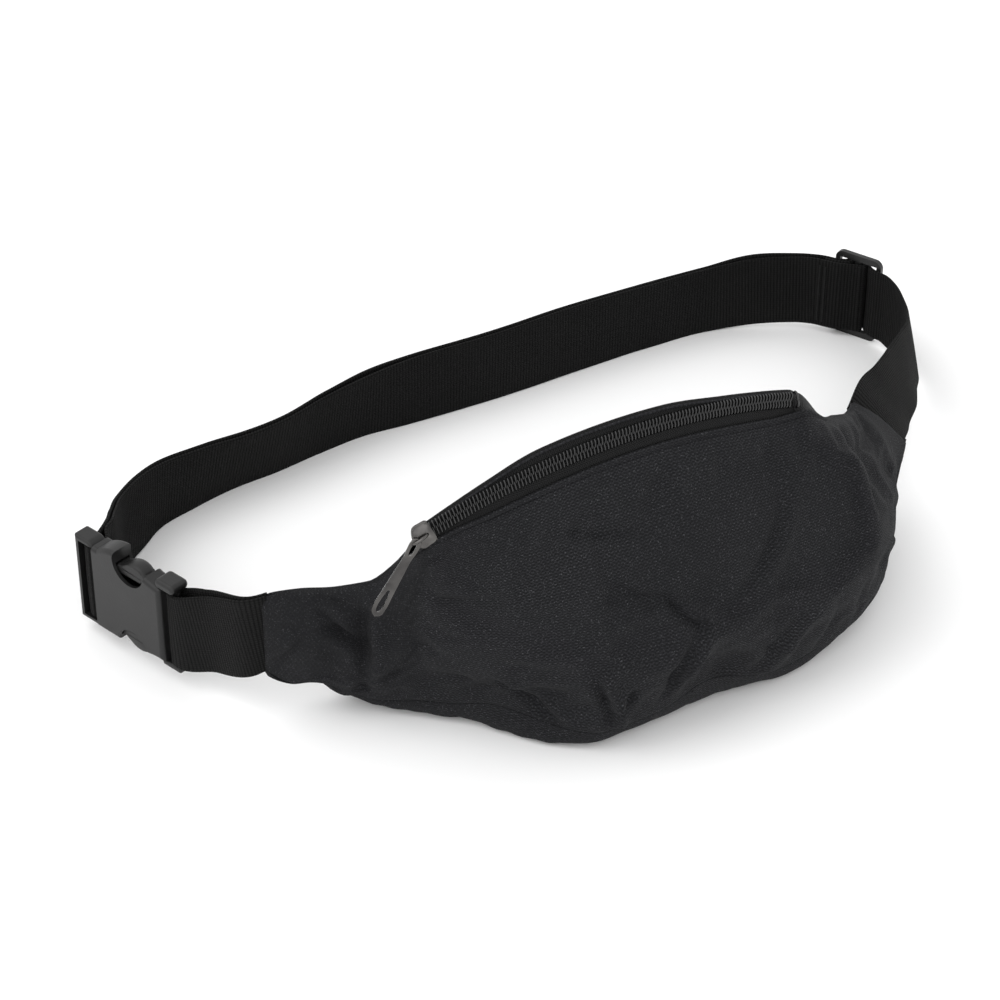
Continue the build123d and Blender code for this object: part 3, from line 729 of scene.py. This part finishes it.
def shape_front(grid):
    """The front as cloth: creases, hollows and small unevenness, held at its edges."""
    normal = grid_normals(grid)
    rows = FRONT_UP[None, :]
    columns = np.linspace(0, 1, grid.shape[0])[:, None]
    lift = np.zeros(grid.shape[:2])
    for row in FRONT_CREASES:
        lift += crease(grid, normal, *row)
    for centre, depth, reach_to in FRONT_HOLLOWS:
        away = np.linalg.norm(grid - np.array(centre, float), axis=2)
        lift -= depth * bell(away, reach_to)
    lift += 1.3 * rumple(grid, 34.0, 3.0) + 0.55 * rumple(grid, 13.0, 8.0)
    gathers = rumple(grid * np.array([1.0, 1.0, 0.35]), 9.0, 15.0)
    lift += 0.7 * gathers * share((0.35 - rows) / 0.35)
    lift = lift * held_back(rows, columns, 0.06) - seam_groove(rows, columns, 1.4)
    lift += hem_fold(grid, rows) + end_fold(grid)
    return grid + normal * lift[..., None] + seam_shift(grid, rows, 0.2)


def shape_rear(grid):
    """The back and underside as cloth: the underside lies on the floor."""
    normal = grid_normals(grid)
    rows = REAR_UP[None, :]
    columns = np.linspace(0, 1, grid.shape[0])[:, None]
    lift = 1.6 * rumple(grid, 38.0, 21.0) + 0.6 * rumple(grid, 14.0, 27.0)
    for row in REAR_CREASES:
        lift += crease(grid, normal, *row)
    lift = lift * held_back(rows, columns, 0.2) + end_fold(grid) - seam_groove(rows, columns, 1.2)
    shaped = grid + normal * lift[..., None] + seam_shift(grid, rows, 0.06)
    belly = bell(grid[..., 0] + 63, 17) * bell(rows - 0.06, 0.05)
    shaped[..., 1] -= 8.0 * belly * share(rows / 0.03)
    shaped[..., 2] = np.maximum(shaped[..., 2], FLOOR_GAP)
    return shaped


def cloth_piece(name, grid, flip):
    """A panel of the bag from its grid, with its faces turned out."""
    faces = grid_faces(*grid.shape[:2], flip=flip)
    piece = make(name, grid.reshape(-1, 3), faces, CLOTH, grid_uv(grid))
    middle = piece.data.polygons[len(faces) // 2]
    if (np.array(middle.center) / MM - INSIDE).dot(np.array(middle.normal)) < 0:
        piece.data.flip_normals()
    add_thickness(piece, CLOTH_T)
    return piece


SIM_COLUMNS, SIM_ROWS = 84, 34
SIM_FRAMES = 18
SIM_CAP = 4.0                   # a point moves at most this far
GROWTH = 0.03                   # the cloth is this much larger than the form it hangs on
SIM_GRAVITY = 0.15
SIM_CLOTH = {
    "quality": 6,
    "mass": 0.15,
    "tension_stiffness": 12,
    "compression_stiffness": 12,
    "shear_stiffness": 4,
    "bending_stiffness": 0.35,
    "vertex_group_mass": "held",
    "shrink_min": -GROWTH,
}


def held_edges(up, columns):
    """1 at the edges of a panel, which seams hold, falling to 0 inside."""
    rows = np.minimum(up, 1 - up)[None, :]
    columns = np.minimum(columns, 1 - columns)[:, None]
    return np.maximum(share(1.25 - rows / 0.10), share(1.25 - columns / 0.06))


def settle(grid, up, seed):
    """How far each point of a panel moves when the cloth is slack: a simulation with its edges held."""
    fine_columns = np.linspace(0, 1, grid.shape[0])
    columns, rows = np.linspace(0, 1, SIM_COLUMNS), np.linspace(0, 1, SIM_ROWS)
    coarse = smooth(up, grid.transpose(1, 0, 2), rows, free=True).transpose(1, 0, 2)
    coarse = smooth(fine_columns, coarse, columns, free=True)
    piece = make(f"settle_{seed}", coarse.reshape(-1, 3), grid_faces(*coarse.shape[:2]), CLOTH)
    group = piece.vertex_groups.new(name="held")
    for i, weight in enumerate(held_edges(rows, columns).reshape(-1)):
        group.add([i], float(weight), "REPLACE")
    cloth = piece.modifiers.new("cloth", "CLOTH")
    for key, value in SIM_CLOTH.items():
        setattr(cloth.settings, key, value)
    cloth.settings.effector_weights.gravity = SIM_GRAVITY
    cloth.collision_settings.use_collision = False
    cloth.point_cache.frame_end = SIM_FRAMES
    for step in range(1, SIM_FRAMES + 1):
        SCENE.frame_set(step)
    done = piece.evaluated_get(bpy.context.evaluated_depsgraph_get())
    moved = np.array([v.co for v in done.data.vertices]) / MM - coarse.reshape(-1, 3)
    size = np.linalg.norm(moved, axis=1, keepdims=True)
    moved = (moved * np.minimum(1, SIM_CAP / np.maximum(size, 1e-6))).reshape(coarse.shape)
    SCENE.frame_set(1)
    bpy.data.objects.remove(piece)
    moved = smooth(columns, moved, fine_columns, free=True)
    moved = smooth(rows, moved.transpose(1, 0, 2), up, free=True).transpose(1, 0, 2)
    return moved * (1 - held_edges(up, fine_columns))[..., None]


front_grid, rear_grid = bag_grids()
front_grid = shape_front(front_grid) + settle(front_grid, FRONT_UP, 1)
rear_grid = shape_rear(rear_grid) + settle(rear_grid, REAR_UP, 2)
rear_grid[..., 2] = np.maximum(rear_grid[..., 2], FLOOR_GAP)
front_cloth = cloth_piece("front_cloth", front_grid, flip=False)
rear_cloth = cloth_piece("rear_cloth", rear_grid, flip=True)
for cloth, node in ((front_cloth, "front_panel"), (rear_cloth, "back_panel")):
    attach(cloth, "bag")
    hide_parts(node)


# ---------------- zip
TAPE_T = 0.6
UNDER_HEM = 1.0                 # how far the tapes reach under the cloth
GUSSET_X = 92.0                 # where the tapes' ends are gone between the cloth edges


def tape(side, label):
    """One tape: from under the chain to under the cloth's hem, rolled at the outer edge."""
    angles = np.linspace(ZIP_FROM, ZIP_TO, 200)
    base, _, across, out = arch_axes(angles)
    width = reach(angles, side) + UNDER_HEM
    part = np.linspace(0.04, 1, 10)
    rise = np.interp(part, [0, 0.55, 0.85, 1], [0, 0, -0.35, -0.8])
    upper = np.stack([part, rise], 1)
    outline = np.concatenate([upper, upper[::-1] - [0, TAPE_T]])
    rings = (
        base[:, None]
        + across[:, None] * (side * width[:, None] * outline[None, :, 0])[..., None]
        + out[:, None] * outline[None, :, 1:2]
    )
    faces = shell_faces(len(angles), len(outline), flip=side > 0)
    run = np.radians(angles - ZIP_FROM) * ZIP_R
    uvs = cloth_uv(run, outline[:, 0] * 8.0).reshape(-1, 2)
    piece = outward(make(f"tape_{label}", rings.reshape(-1, 3), faces, TAPE, uvs))
    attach(piece, "bag")
    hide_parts(f"zip_tape_{label}")


def end_gusset():
    """The tapes' ends, tapering away down the shoulder between the two cloth edges."""
    front = front_grid[:, -1]
    rear = rear_grid[:, -1]
    first = int(np.searchsorted(front[:, 0], HEM[-1][-1, 0] - 4.0))
    last = int(np.searchsorted(front[:, 0], GUSSET_X))
    part = np.linspace(-0.08, 1.08, 12)[None, :, None]
    sheet = front[first:last, None] * (1 - part) + rear[first:last, None] * part
    sheet = sheet - np.array([0, 0, CLOTH_T])
    faces = grid_faces(*sheet.shape[:2])
    piece = make("tape_end", sheet.reshape(-1, 3), faces, TAPE, grid_uv(sheet))
    add_thickness(piece, TAPE_T)
    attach(piece, "bag")


tape(-1, "lower")
tape(1, "upper")
end_gusset()

TOOTH_PITCH = 1.55
TOOTH_R = 0.40
# half a loop from the coil's outer edge to the other row's, across the zip and out from it
TOOTH = [(2.95, 0.4), (2.9, 1.0), (2.4, 1.6), (1.5, 1.7), (0.6, 1.35), (-0.2, 1.1), (-0.6, 0.6)]
TOOTH_SLANT = 0.18


def coil_side(side):
    """One row of the coil, from behind the slider to just short of the tapes' end."""
    sweep = math.radians(ZIP_TO - 1.0 - SLIDER_AT - 0.6) * ZIP_R
    parts = []
    for k in range(int(sweep / TOOTH_PITCH)):
        shift = (k + (0.5 if side > 0 else 0.0)) * TOOTH_PITCH
        angle = SLIDER_AT + 0.9 + math.degrees(shift / ZIP_R)
        base, along, across, out = arch_axes(angle)
        path = [base + across * side * a + out * b + along * TOOTH_SLANT * a * side for a, b in TOOTH]
        parts.append(tube_grid(through(path, 11), TOOTH_R, sides=6, normal=along))
    return parts


for side, label in ((-1, "lower"), (1, "upper")):
    coil = joined(f"coil_{label}", coil_side(side), COIL)
    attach(coil, "bag")
    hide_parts(f"zip_coil_{label}")

staple = [(-3.1, 0.2), (-3.1, 1.6), (-2.2, 2.1), (0, 2.2), (2.2, 2.1), (3.1, 1.6), (3.1, 0.2)]
base, along, across, out = arch_axes(ZIP_TO - 0.5)
staple_path = [base + across * a + out * b for a, b in through(staple, 24)]
end_stop = joined("end_stop", [tube_grid(staple_path, 0.5, sides=10, normal=along)], COIL)
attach(end_stop, "bag")
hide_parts("zip_end_stop")

# ---------------- slider and pull
def local_axes(origin, x_dir, z_dir):
    """A fitting's own frame: its origin and its three directions."""
    x_dir, z_dir = unit(x_dir), unit(z_dir)
    return np.asarray(origin, float), x_dir, np.cross(z_dir, x_dir), z_dir


def place(axes, points):
    """Points of a fitting's own frame in the model's frame."""
    origin, x_dir, y_dir, z_dir = axes
    points = np.asarray(points, float)
    return origin + points[..., :1] * x_dir + points[..., 1:2] * y_dir + points[..., 2:3] * z_dir


base, along, across, out = arch_axes(SLIDER_AT)
SLIDER = local_axes(base, along, out)


def slab(axes, outline, low, high, crown=0.0):
    """A plate with an outline, rounded over at its rim."""
    middle = outline.mean(0)
    thick = high - low
    levels = [(low, 0.35), (low + 0.2 * thick, 0.0), (high - 0.35 * thick, 0.0)]
    levels += [(high - 0.1 * thick, 0.3), (high, 0.75)]
    rings = []
    for z, draw in levels:
        radius = np.linalg.norm(outline - middle, axis=1, keepdims=True)
        ring = middle + (outline - middle) * (1 - draw / np.maximum(radius, 1e-6))
        rings.append(raised(ring, z))
    top = rings[-1].copy()
    top[:, :2] = middle + (top[:, :2] - middle) * 0.5
    top[:, 2] += crown
    rings.append(top)
    return place(axes, np.concatenate(rings)), shell_faces(len(rings), len(outline))


def shield(nose, tail, half, tail_half):
    """Rounded shield outline of a slider plate."""
    corner = [(nose, 0), (nose + 0.5, 1.6), (nose + 2.6, half)]
    corner += [(0.8, half + 0.1), (tail - 0.6, tail_half), (tail, tail_half - 1.0)]
    corner = through(corner, 14)
    return np.concatenate([corner, corner[::-1][:-1] * MIRROR])


BRIDGE_Z = 3.45                 # the top of the outer plate, which the bridge stands on
PLATE = shield(-4.8, 4.6, 4.5, 4.0)
slider_parts = [slab(SLIDER, PLATE, 2.4, BRIDGE_Z, 0.15), slab(SLIDER, PLATE, -2.1, -1.1)]
for side in (-1, 1):
    rail = [(-1.8, side * 4.15, 1.9), (1.0, side * 4.2, 1.9), (4.3, side * 3.8, 1.9)]
    slider_parts.append(tube_grid(place(SLIDER, through(rail, 10)), 0.55, sides=8, flat=1.6))
hoop = [(-4.9, -0.3), (-5.1, 1.6), (-3.9, 2.9), (-1.6, 3.2), (0.7, 2.5), (1.9, 0.9), (2.0, -0.3)]
hoop = place(SLIDER, through([(x, 0, BRIDGE_Z + z) for x, z in hoop], 30))
slider_parts.append(tube_grid(hoop, 0.62, sides=10, normal=SLIDER[2]))
slider = joined("slider_body", slider_parts, METAL)
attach(slider, "zip_slider")
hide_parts("zip_slider")

PULL_L = 35.0
PULL_SWING = math.radians(28.0)         # how far it hangs to the front
PULL_DROOP = math.radians(3.0)          # and away from the slider's plate
PULL_T = 1.1
PULL_ROUND = 0.28
PIN_R = 0.55
PIN_HALF = 1.9
# half outlines of the plate, its long slot and its eye, seen from the pin, with their point counts
PULL_LOOPS = (
    ([(0.9, 0), (0.5, 1.4), (-1.2, 1.9), (-4, 1.9), (-8, 1.5), (-14, 1.7), (-24, 2.1),
      (-30.6, 2.35), (-33.4, 1.9), (-PULL_L + 0.3, 0)], 40),
    ([(-22.4, 0), (-23, 0.6), (-25, 1), (-28, 1.3), (-31, 1.3), (-32.6, 0.8), (-33.2, 0)], 26),
    ([(-0.9, 0), (-1.1, 0.7), (-2.2, 1), (-5, 1), (-6.4, 0.6), (-6.8, 0)], 18),
)
pin = np.array(JOINTS["pull_swing"]["pos_m"], float) / MM
pull_side = unit(np.array(JOINTS["pull_swing"]["axis"], float))
flat_x = SLIDER[1] * math.cos(PULL_SWING) + SLIDER[2] * math.sin(PULL_SWING)
flat_x = unit(flat_x * math.cos(PULL_DROOP) + SLIDER[3] * math.sin(PULL_DROOP))
PULL = local_axes(pin, flat_x, np.cross(flat_x, pull_side))


def pull_mesh():
    """Plate of the pull between its outline and its slots, with a rounded rim."""
    shape = bpy.data.curves.new("pull_outline", "CURVE")
    shape.dimensions = "2D"
    shape.fill_mode = "BOTH"
    shape.extrude = PULL_T / 2 * MM
    shape.bevel_depth = PULL_ROUND * MM
    shape.bevel_resolution = 3
    for outline, count in PULL_LOOPS:
        loop = through(outline, count)
        ring = np.concatenate([loop, (loop[::-1] * MIRROR)[1:-1]])
        spline = shape.splines.new("POLY")
        spline.points.add(len(ring) - 1)
        for point, (x, y) in zip(spline.points, ring):
            point.co = (x * MM, y * MM, 0, 1)
        spline.use_cyclic_u = True
    holder = add_object("pull_outline", shape)
    bpy.context.view_layer.update()
    mesh = bpy.data.meshes.new_from_object(holder.evaluated_get(bpy.context.evaluated_depsgraph_get()))
    bpy.data.objects.remove(holder)
    points = np.array([v.co for v in mesh.vertices]) / MM
    faces = [tuple(p.vertices) for p in mesh.polygons]
    bpy.data.meshes.remove(mesh)
    return place(PULL, points), faces


pin_path = place(PULL, [(0, y, 0) for y in (-PIN_HALF, -0.9, 0, 0.9, PIN_HALF)])
pin_tube = tube_grid(pin_path, PIN_R, sides=12, normal=PULL[3])
pull = joined("pull_tab", [pull_mesh(), pin_tube], METAL)
split = pull.modifiers.new("crisp", "EDGE_SPLIT")
split.split_angle = math.radians(40)
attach(pull, "zip_pull")
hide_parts("zip_pull")

# ---------------- webbing
WEB_W = 38.0
WEB_T = 1.5
FINE_SPACING = 0.7              # between rings where the belt turns sharply
RISE = [
    ((144, 68, 53.5), (171, 63, 27)),
    ((165.5, 82.5, 50.5), (189, 85, 22)),
    ((183.5, 96.5, 48), (204, 100.5, 18)),
    ((200, 110, 46), (215.5, 116, 13)),
    ((213, 123, 43), (225.5, 130, 8.5)),
    ((222, 138, 42), (230, 144, 5)),
    ((228.5, 159, 41.9), (228.5, 159, 3.9)),
]
FAR_RUN = [
    ((184, 213, 41.5), (184, 213, 3.5)),
    ((160, 219, 38.2), (160, 221, 0.3)),
    ((125, 220, 38.2), (125, 222, 0.3)),
    ((81, 220, 38.3), (81, 220, 0.3)),
    ((35, 217, 38.3), (34, 218, 0.3)),
    ((-8, 217, 38.3), (-8, 219, 0.3)),
    ((-30, 215, 38), (-31, 221, 0.4)),
    ((-53, 209, 37.4), (-55, 217, 0.4)),
]
END_RUN = [
    ((-78, 201, 36.6), (-80, 212, 0.4)),
    ((-99, 198, 36.6), (-100, 210, 0.5)),
    ((-122, 196, 37.5), (-124, 204, 0.5)),
    ((-145, 192, 38.4), (-146, 196, 0.6)),
    ((-159, 185, 38.8), (-159, 185, 0.8)),
    ((-172.5, 173, 40), (-172.5, 173, 2)),
    ((-180, 160.5, 43), (-180, 160.5, 5)),
    ((-185, 151.5, 46), (-185, 151.5, 8)),
    ((-189.4, 145.8, 47.5), (-189.4, 145.8, 9.5)),
]
BUCKLE = local_axes((-181.0, 95.0, 28.5), (-0.34, 0.94, 0), (0.94, 0.34, 0))
GLIDE = local_axes((224.0, 182.0, 23.1), (-0.47, 0.883, 0), (0.883, 0.47, 0))
BUCKLE_LOW = 9.5
GLIDE_LOW = 3.9
MALE_BAR_X = 45.4
# the belt's end, folded round the glide's middle bar: plan points in the glide's frame
FOLD_PLAN = [
    (18.5, -7.9), (13, -7.0), (8, -6.0), (3.6, -3.8), (0, -2.4), (-2.5, -1.7), (-3.2, 0.1),
    (-2.2, 1.8), (0, 2.4), (2.9, 1.2), (5.4, -1.9), (8.6, -4.0), (12.6, -4.8), (16, -5.5),
]
LOOP_R = 2.45


def upright(axes, plan, low):
    """Rows of upright webbing through plan points of a fitting."""
    rows = []
    for x, v in plan:
        spot = place(axes, [(x, 0, v)])[0]
        rows.append(((spot[0], spot[1], low + WEB_W), (spot[0], spot[1], low)))
    return rows


def arc_plan(centre, radius, start, end, count):
    """Plan points round a bar, angles in degrees from the fitting's x."""
    turn = np.radians(np.linspace(start, end, count))
    return [(centre + radius * math.cos(a), radius * math.sin(a)) for a in turn]


def strap_grid(rows, spacing=1.8, ripple=0.0, seed=0.0, fine=()):
    """Webbing through rows of top and bottom edge points: its rings, normals and cloth coordinates."""
    rows = np.array(rows, float)
    middle = rows.mean(1)
    knots = lengths(middle)
    marks = np.linspace(0, knots[-1], 2000)
    density = np.full(len(marks), 1 / spacing)
    for start, end in fine:
        density[(marks > start) & (marks < end)] = 1 / FINE_SPACING
    total = np.concatenate([[0], np.cumsum((density[1:] + density[:-1]) / 2 * np.diff(marks))])
    at = np.interp(np.linspace(0, total[-1], max(int(total[-1]), 8)), total, marks)
    centre = smooth(knots, middle, at, free=True)
    up = unit(smooth(knots, unit(rows[:, 0] - rows[:, 1]), at, free=True))
    ahead = unit(np.gradient(centre, axis=0))
    up = unit(up - ahead * (up * ahead).sum(1, keepdims=True) * 0.6)
    outward = unit(np.cross(ahead, up))
    wave = np.array([noise.noise(Vector((s / 30.0, seed, 0.5))) for s in at]) * ripple
    centre = centre + outward * wave[:, None]
    edge = [(-0.5, -0.18), (-0.495, -0.42), (-0.48, -0.5)]
    side = [(s, -0.5) for s in np.linspace(-0.42, 0.42, 9)]
    half = np.array(edge + side + [(0.48, -0.5), (0.495, -0.42), (0.5, -0.18)])
    ring = np.concatenate([half, half[::-1] * MIRROR])
    cup = 0.25 * np.cos(ring[:, 0] * math.pi)
    points = (
        centre[:, None]
        + up[:, None] * (ring[:, 0] * WEB_W)[None, :, None]
        + outward[:, None] * (ring[:, 1] * WEB_T + cup)[None, :, None]
    )
    round_it = unit(np.stack([ring[:, 0] * 0.02, ring[:, 1]], 1))
    edges = np.abs(ring[:, 0]) > 0.49
    round_it[edges] = unit(np.stack([np.sign(ring[edges, 0]) * 0.9, ring[edges, 1]], 1))
    normal = up[:, None] * round_it[None, :, :1] + outward[:, None] * round_it[None, :, 1:]
    return points, normal, cloth_uv(lengths(centre), ring[:, 0] * WEB_W)


def strap_piece(name, grid, first=0, last=None, caps=(True, True)):
    """A stretch of a webbing grid, between two of its rings; an uncapped end meets its neighbour."""
    last = None if last is None else last + 1
    points, normal, uvs = (rings[first:last] for rings in grid)
    count, sides = points.shape[:2]
    faces = grid_faces(count, sides, closed=True)
    if caps[0]:
        faces.append(tuple(range(sides - 1, -1, -1)))
    if caps[1]:
        faces.append(tuple(range((count - 1) * sides, count * sides)))
    turn = np.cross(np.roll(points, -1, axis=1)[:-1] - points[:-1], points[1:] - points[:-1])
    if (turn * normal[:-1]).sum() < 0:
        faces = [face[::-1] for face in faces]
    piece = make(name, points.reshape(-1, 3), faces, WEBBING, uvs.reshape(-1, 2))
    if not all(caps):
        piece.data.normals_split_custom_set_from_vertices([tuple(n) for n in normal.reshape(-1, 3)])
    return piece


def strap(name, rows, **settings):
    """A whole length of webbing, capped at both ends."""
    return strap_piece(name, strap_grid(rows, **settings))


def inner_rows(rows, step):
    """Rows of the layer that lies inside, moved towards the middle of the loop."""
    rows = np.array(rows, float)
    ahead = unit(np.gradient(rows.mean(1), axis=0))
    up = unit(rows[:, 0] - rows[:, 1])
    inward = unit(np.cross(ahead, up))
    step = np.broadcast_to(step, len(rows))
    return rows - inward[:, None] * step[:, None, None]


# outer layer: from inside the right wing, through the glide, round to the plug
wing_start = ((139.7, 63.6, 49.6), (167.2, 59.6, 27.9))
over_glide = [
    (-16, -3.2), (-11.3, -2.5), (-6.6, -0.6), (-3.2, 3.0), (0, 4.4),
    (3.6, 3.1), (7.4, -0.7), (11.3, -2.5), (17, -3.6), (24.5, -6.6), (33, -11.6),
]
glide_rows = upright(GLIDE, over_glide, GLIDE_LOW)
glide_in, glide_out = glide_rows[:5], glide_rows[4:]
right_rows = [wing_start, *RISE, *glide_in]
right_strap = strap("right_strap", right_rows, ripple=0.2, seed=9.0)
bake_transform(right_strap)
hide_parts("belt_rise")

# one length from the glide round the far side and the plug's bar, and back to the glide's fold
END_INNER = inner_rows(END_RUN, 2.1)[::-1]
FAR_INNER = inner_rows(FAR_RUN, [2.2, 2.1, 2.2, 2.4, 2.6, 3.2, 3.8, 2.8])[::-1]
plug_out = upright(BUCKLE, [(48.9, 5.4), (48.1, 2.6)], BUCKLE_LOW)
wrap_plan = arc_plan(MALE_BAR_X, LOOP_R, 10, -190, 11)
wrap_plan = [(MALE_BAR_X + (x - MALE_BAR_X) * 1.2, v * 1.25) for x, v in wrap_plan]
plug_arc = upright(BUCKLE, wrap_plan, BUCKLE_LOW)
plug_back = upright(BUCKLE, [(42.9, 3.2), (44.6, 6.6), (48.9, 10.2)], BUCKLE_LOW)
slack = [
    ((184, 210.9, 40), (184, 210.9, 2)),
    *upright(GLIDE, [(33, -13.9)], GLIDE_LOW - 1),
    *upright(GLIDE, [(25.5, -9.8)], GLIDE_LOW - 0.5),
]
fold = upright(GLIDE, FOLD_PLAN, GLIDE_LOW)
there = [*glide_out, *FAR_RUN, *END_RUN, *plug_out, *plug_arc, *plug_back]
back = [*END_INNER[1:], *FAR_INNER[:-1], *slack, *fold]
belt_rows = [*there, *back]
belt_knots = lengths(np.array(belt_rows, float).mean(1))
wrap_at = belt_knots[len(there) - len(plug_arc) // 2]
sharp = [(0, 14), (wrap_at - 22, wrap_at + 18), (belt_knots[-1] - 55, belt_knots[-1])]
belt = strap_grid(belt_rows, ripple=0.35, seed=4.0, fine=sharp)
belt_middle = belt[0].mean(1)


def ring_near(spot, after=0):
    """The ring of the belt that is nearest to a point, past another ring."""
    gap = np.linalg.norm(belt_middle[after:] - np.array(spot, float), axis=1)
    return after + int(gap.argmin())


wrap = ring_near(np.mean(plug_arc[5], axis=0))
far_ring = ring_near((35, 217, 19))
near_ring = ring_near((-54, 211, 19), wrap)
slack_ring = ring_near((160, 217, 19), wrap)
fold_ring = ring_near(place(GLIDE, [(18.5, GLIDE_LOW + 19 - 23.1, -7.9)])[0], slack_ring)
far_strap = strap_piece("far_strap", belt, 0, far_ring, (True, False))
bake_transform(far_strap)
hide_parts("belt_adjust", "belt_far")
end_strap = strap_piece("end_strap", belt, far_ring, near_ring, (False, False))
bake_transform(end_strap)
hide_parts("belt_end")
inner_strap = strap_piece("inner_strap", belt, near_ring, slack_ring, (False, False))
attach(inner_strap, "bag")
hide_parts("belt_inner")
slack_strap = strap_piece("slack_strap", belt, slack_ring, fold_ring, (False, False))
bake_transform(slack_strap)
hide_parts("belt_slack")
fold_strap = strap_piece("fold_strap", belt, fold_ring, None, (False, True))
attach(fold_strap, "tri_glide")
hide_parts("belt_tail")

# the short doubled strap between the socket and the left wing
SOCKET_BAR_X = -6.25
SOCKET_LOOP_R = 3.3
bar_arc = upright(BUCKLE, arc_plan(SOCKET_BAR_X, SOCKET_LOOP_R, 90, -90, 9), BUCKLE_LOW)
short_rows = [
    ((-152, 50.5, 64), (-152, 50.5, 26)),
    ((-158.6, 52.2, 62.8), (-158.6, 52.2, 24.8)),
    ((-169, 73.6, 54), (-169, 73.6, 16)),
    *bar_arc,
    ((-172, 72.4, 52.5), (-172, 72.4, 14.5)),
    ((-160.6, 50.6, 62.6), (-160.6, 50.6, 24.6)),
    ((-153.5, 48.5, 64), (-153.5, 48.5, 26)),
]
short_strap = strap("short_strap_cloth", short_rows, spacing=1.0)
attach(short_strap, "bag")
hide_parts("short_strap")

# ---------------- hard pieces kept from the model
for node, material, width in (
    ("buckle_socket", BUCKLE_SKIN, 0.5),
    ("buckle_plug", BUCKLE_SKIN, 0.4),
    ("prong_upper", BUCKLE_SKIN, 0.3),
    ("prong_lower", BUCKLE_SKIN, 0.3),
    ("tri_glide", GLIDE_SKIN, 0.6),
    ("tail_bartack", THREAD, 0.1),
    ("seam_binding", TAPE, 0.2),
):
    piece = NODES[node]
    piece.data.materials.clear()
    piece.data.materials.append(material)
    add_bevel(piece, width)

# a thumb pad's outline in the buckle's plane, and the steps of its crown: height, and size
PAD = [
    (10.4, 17.4), (9.9, 19.6), (11.4, 21.6), (15, 22.7),
    (19, 22.2), (22.6, 20.4), (25.4, 18.4), (25.6, 17.4),
]
PAD_CENTRE = np.array([17.5, 17.6])
PAD_CROWN = [(0, 1.012), (1.6, 1.0), (2.9, 0.96), (3.45, 0.88), (3.6, 0.78)]


def pad_cap(side, body):
    """Rounded thumb pad on a release arm, with its mould line."""
    plan = through(PAD, 34)
    levels = [(-z, size) for z, size in PAD_CROWN[:0:-1]] + PAD_CROWN
    flat = [(PAD_CENTRE + (plan - PAD_CENTRE) * size) * np.array([1, side]) for _, size in levels]
    rings = [raised(ring, z) for ring, (z, _) in zip(flat, levels)]
    faces = shell_faces(len(rings), len(plan))
    cap = outward(make(f"pad_{body}", place(BUCKLE, np.concatenate(rings)), faces, BUCKLE_SKIN))
    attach(cap, body)


pad_cap(1, "prong_upper")
pad_cap(-1, "prong_lower")

# ---------------- studio
FLOOR_HALF = 3000.0
CAMERA_LENS, CAMERA_SENSOR = 111.8, 36.0
CAMERA_AZIMUTH, CAMERA_ELEVATION = math.radians(-28), math.radians(36)
CAMERA_AWAY = 1.35
CAMERA_TARGET = Vector((-0.030, 0.080, 0.050))
LIGHT_TARGET = Vector((0.0, 0.08, 0.05))

corners = [(x * FLOOR_HALF, y * FLOOR_HALF, 0) for x, y in ((-1, -1), (1, -1), (1, 1), (-1, 1))]
floor = make("floor", corners, [(0, 1, 2, 3)], floor_paint())

world = bpy.data.worlds.new("studio")
SCENE.world = world
world.use_nodes = True
background = world.node_tree.nodes["Background"]
background.inputs["Color"].default_value = (1.0, 1.0, 1.0, 1)
background.inputs["Strength"].default_value = 1.1


def area_light(name, where, size, power):
    """A square light that shines on the object."""
    light = bpy.data.lights.new(name, "AREA")
    light.shape = "SQUARE"
    light.size = size
    light.energy = power
    lamp = add_object(name, light)
    lamp.location = where
    lamp.rotation_euler = (LIGHT_TARGET - Vector(where)).to_track_quat("-Z", "Y").to_euler()


area_light("key", (-1.1, 0.4, 1.6), 1.7, 11.0)
area_light("front", (-0.9, -1.4, 1.2), 1.4, 6.0)

camera_data = bpy.data.cameras.new("camera")
camera_data.lens = CAMERA_LENS
camera_data.sensor_width = CAMERA_SENSOR
camera = add_object("camera", camera_data)
level = math.cos(CAMERA_ELEVATION)
away = Vector((
    math.sin(CAMERA_AZIMUTH) * level,
    -math.cos(CAMERA_AZIMUTH) * level,
    math.sin(CAMERA_ELEVATION),
))
camera.location = CAMERA_TARGET + away * CAMERA_AWAY
camera.rotation_euler = (-away).to_track_quat("-Z", "Y").to_euler()
SCENE.camera = camera
SCENE.view_settings.view_transform = "Standard"
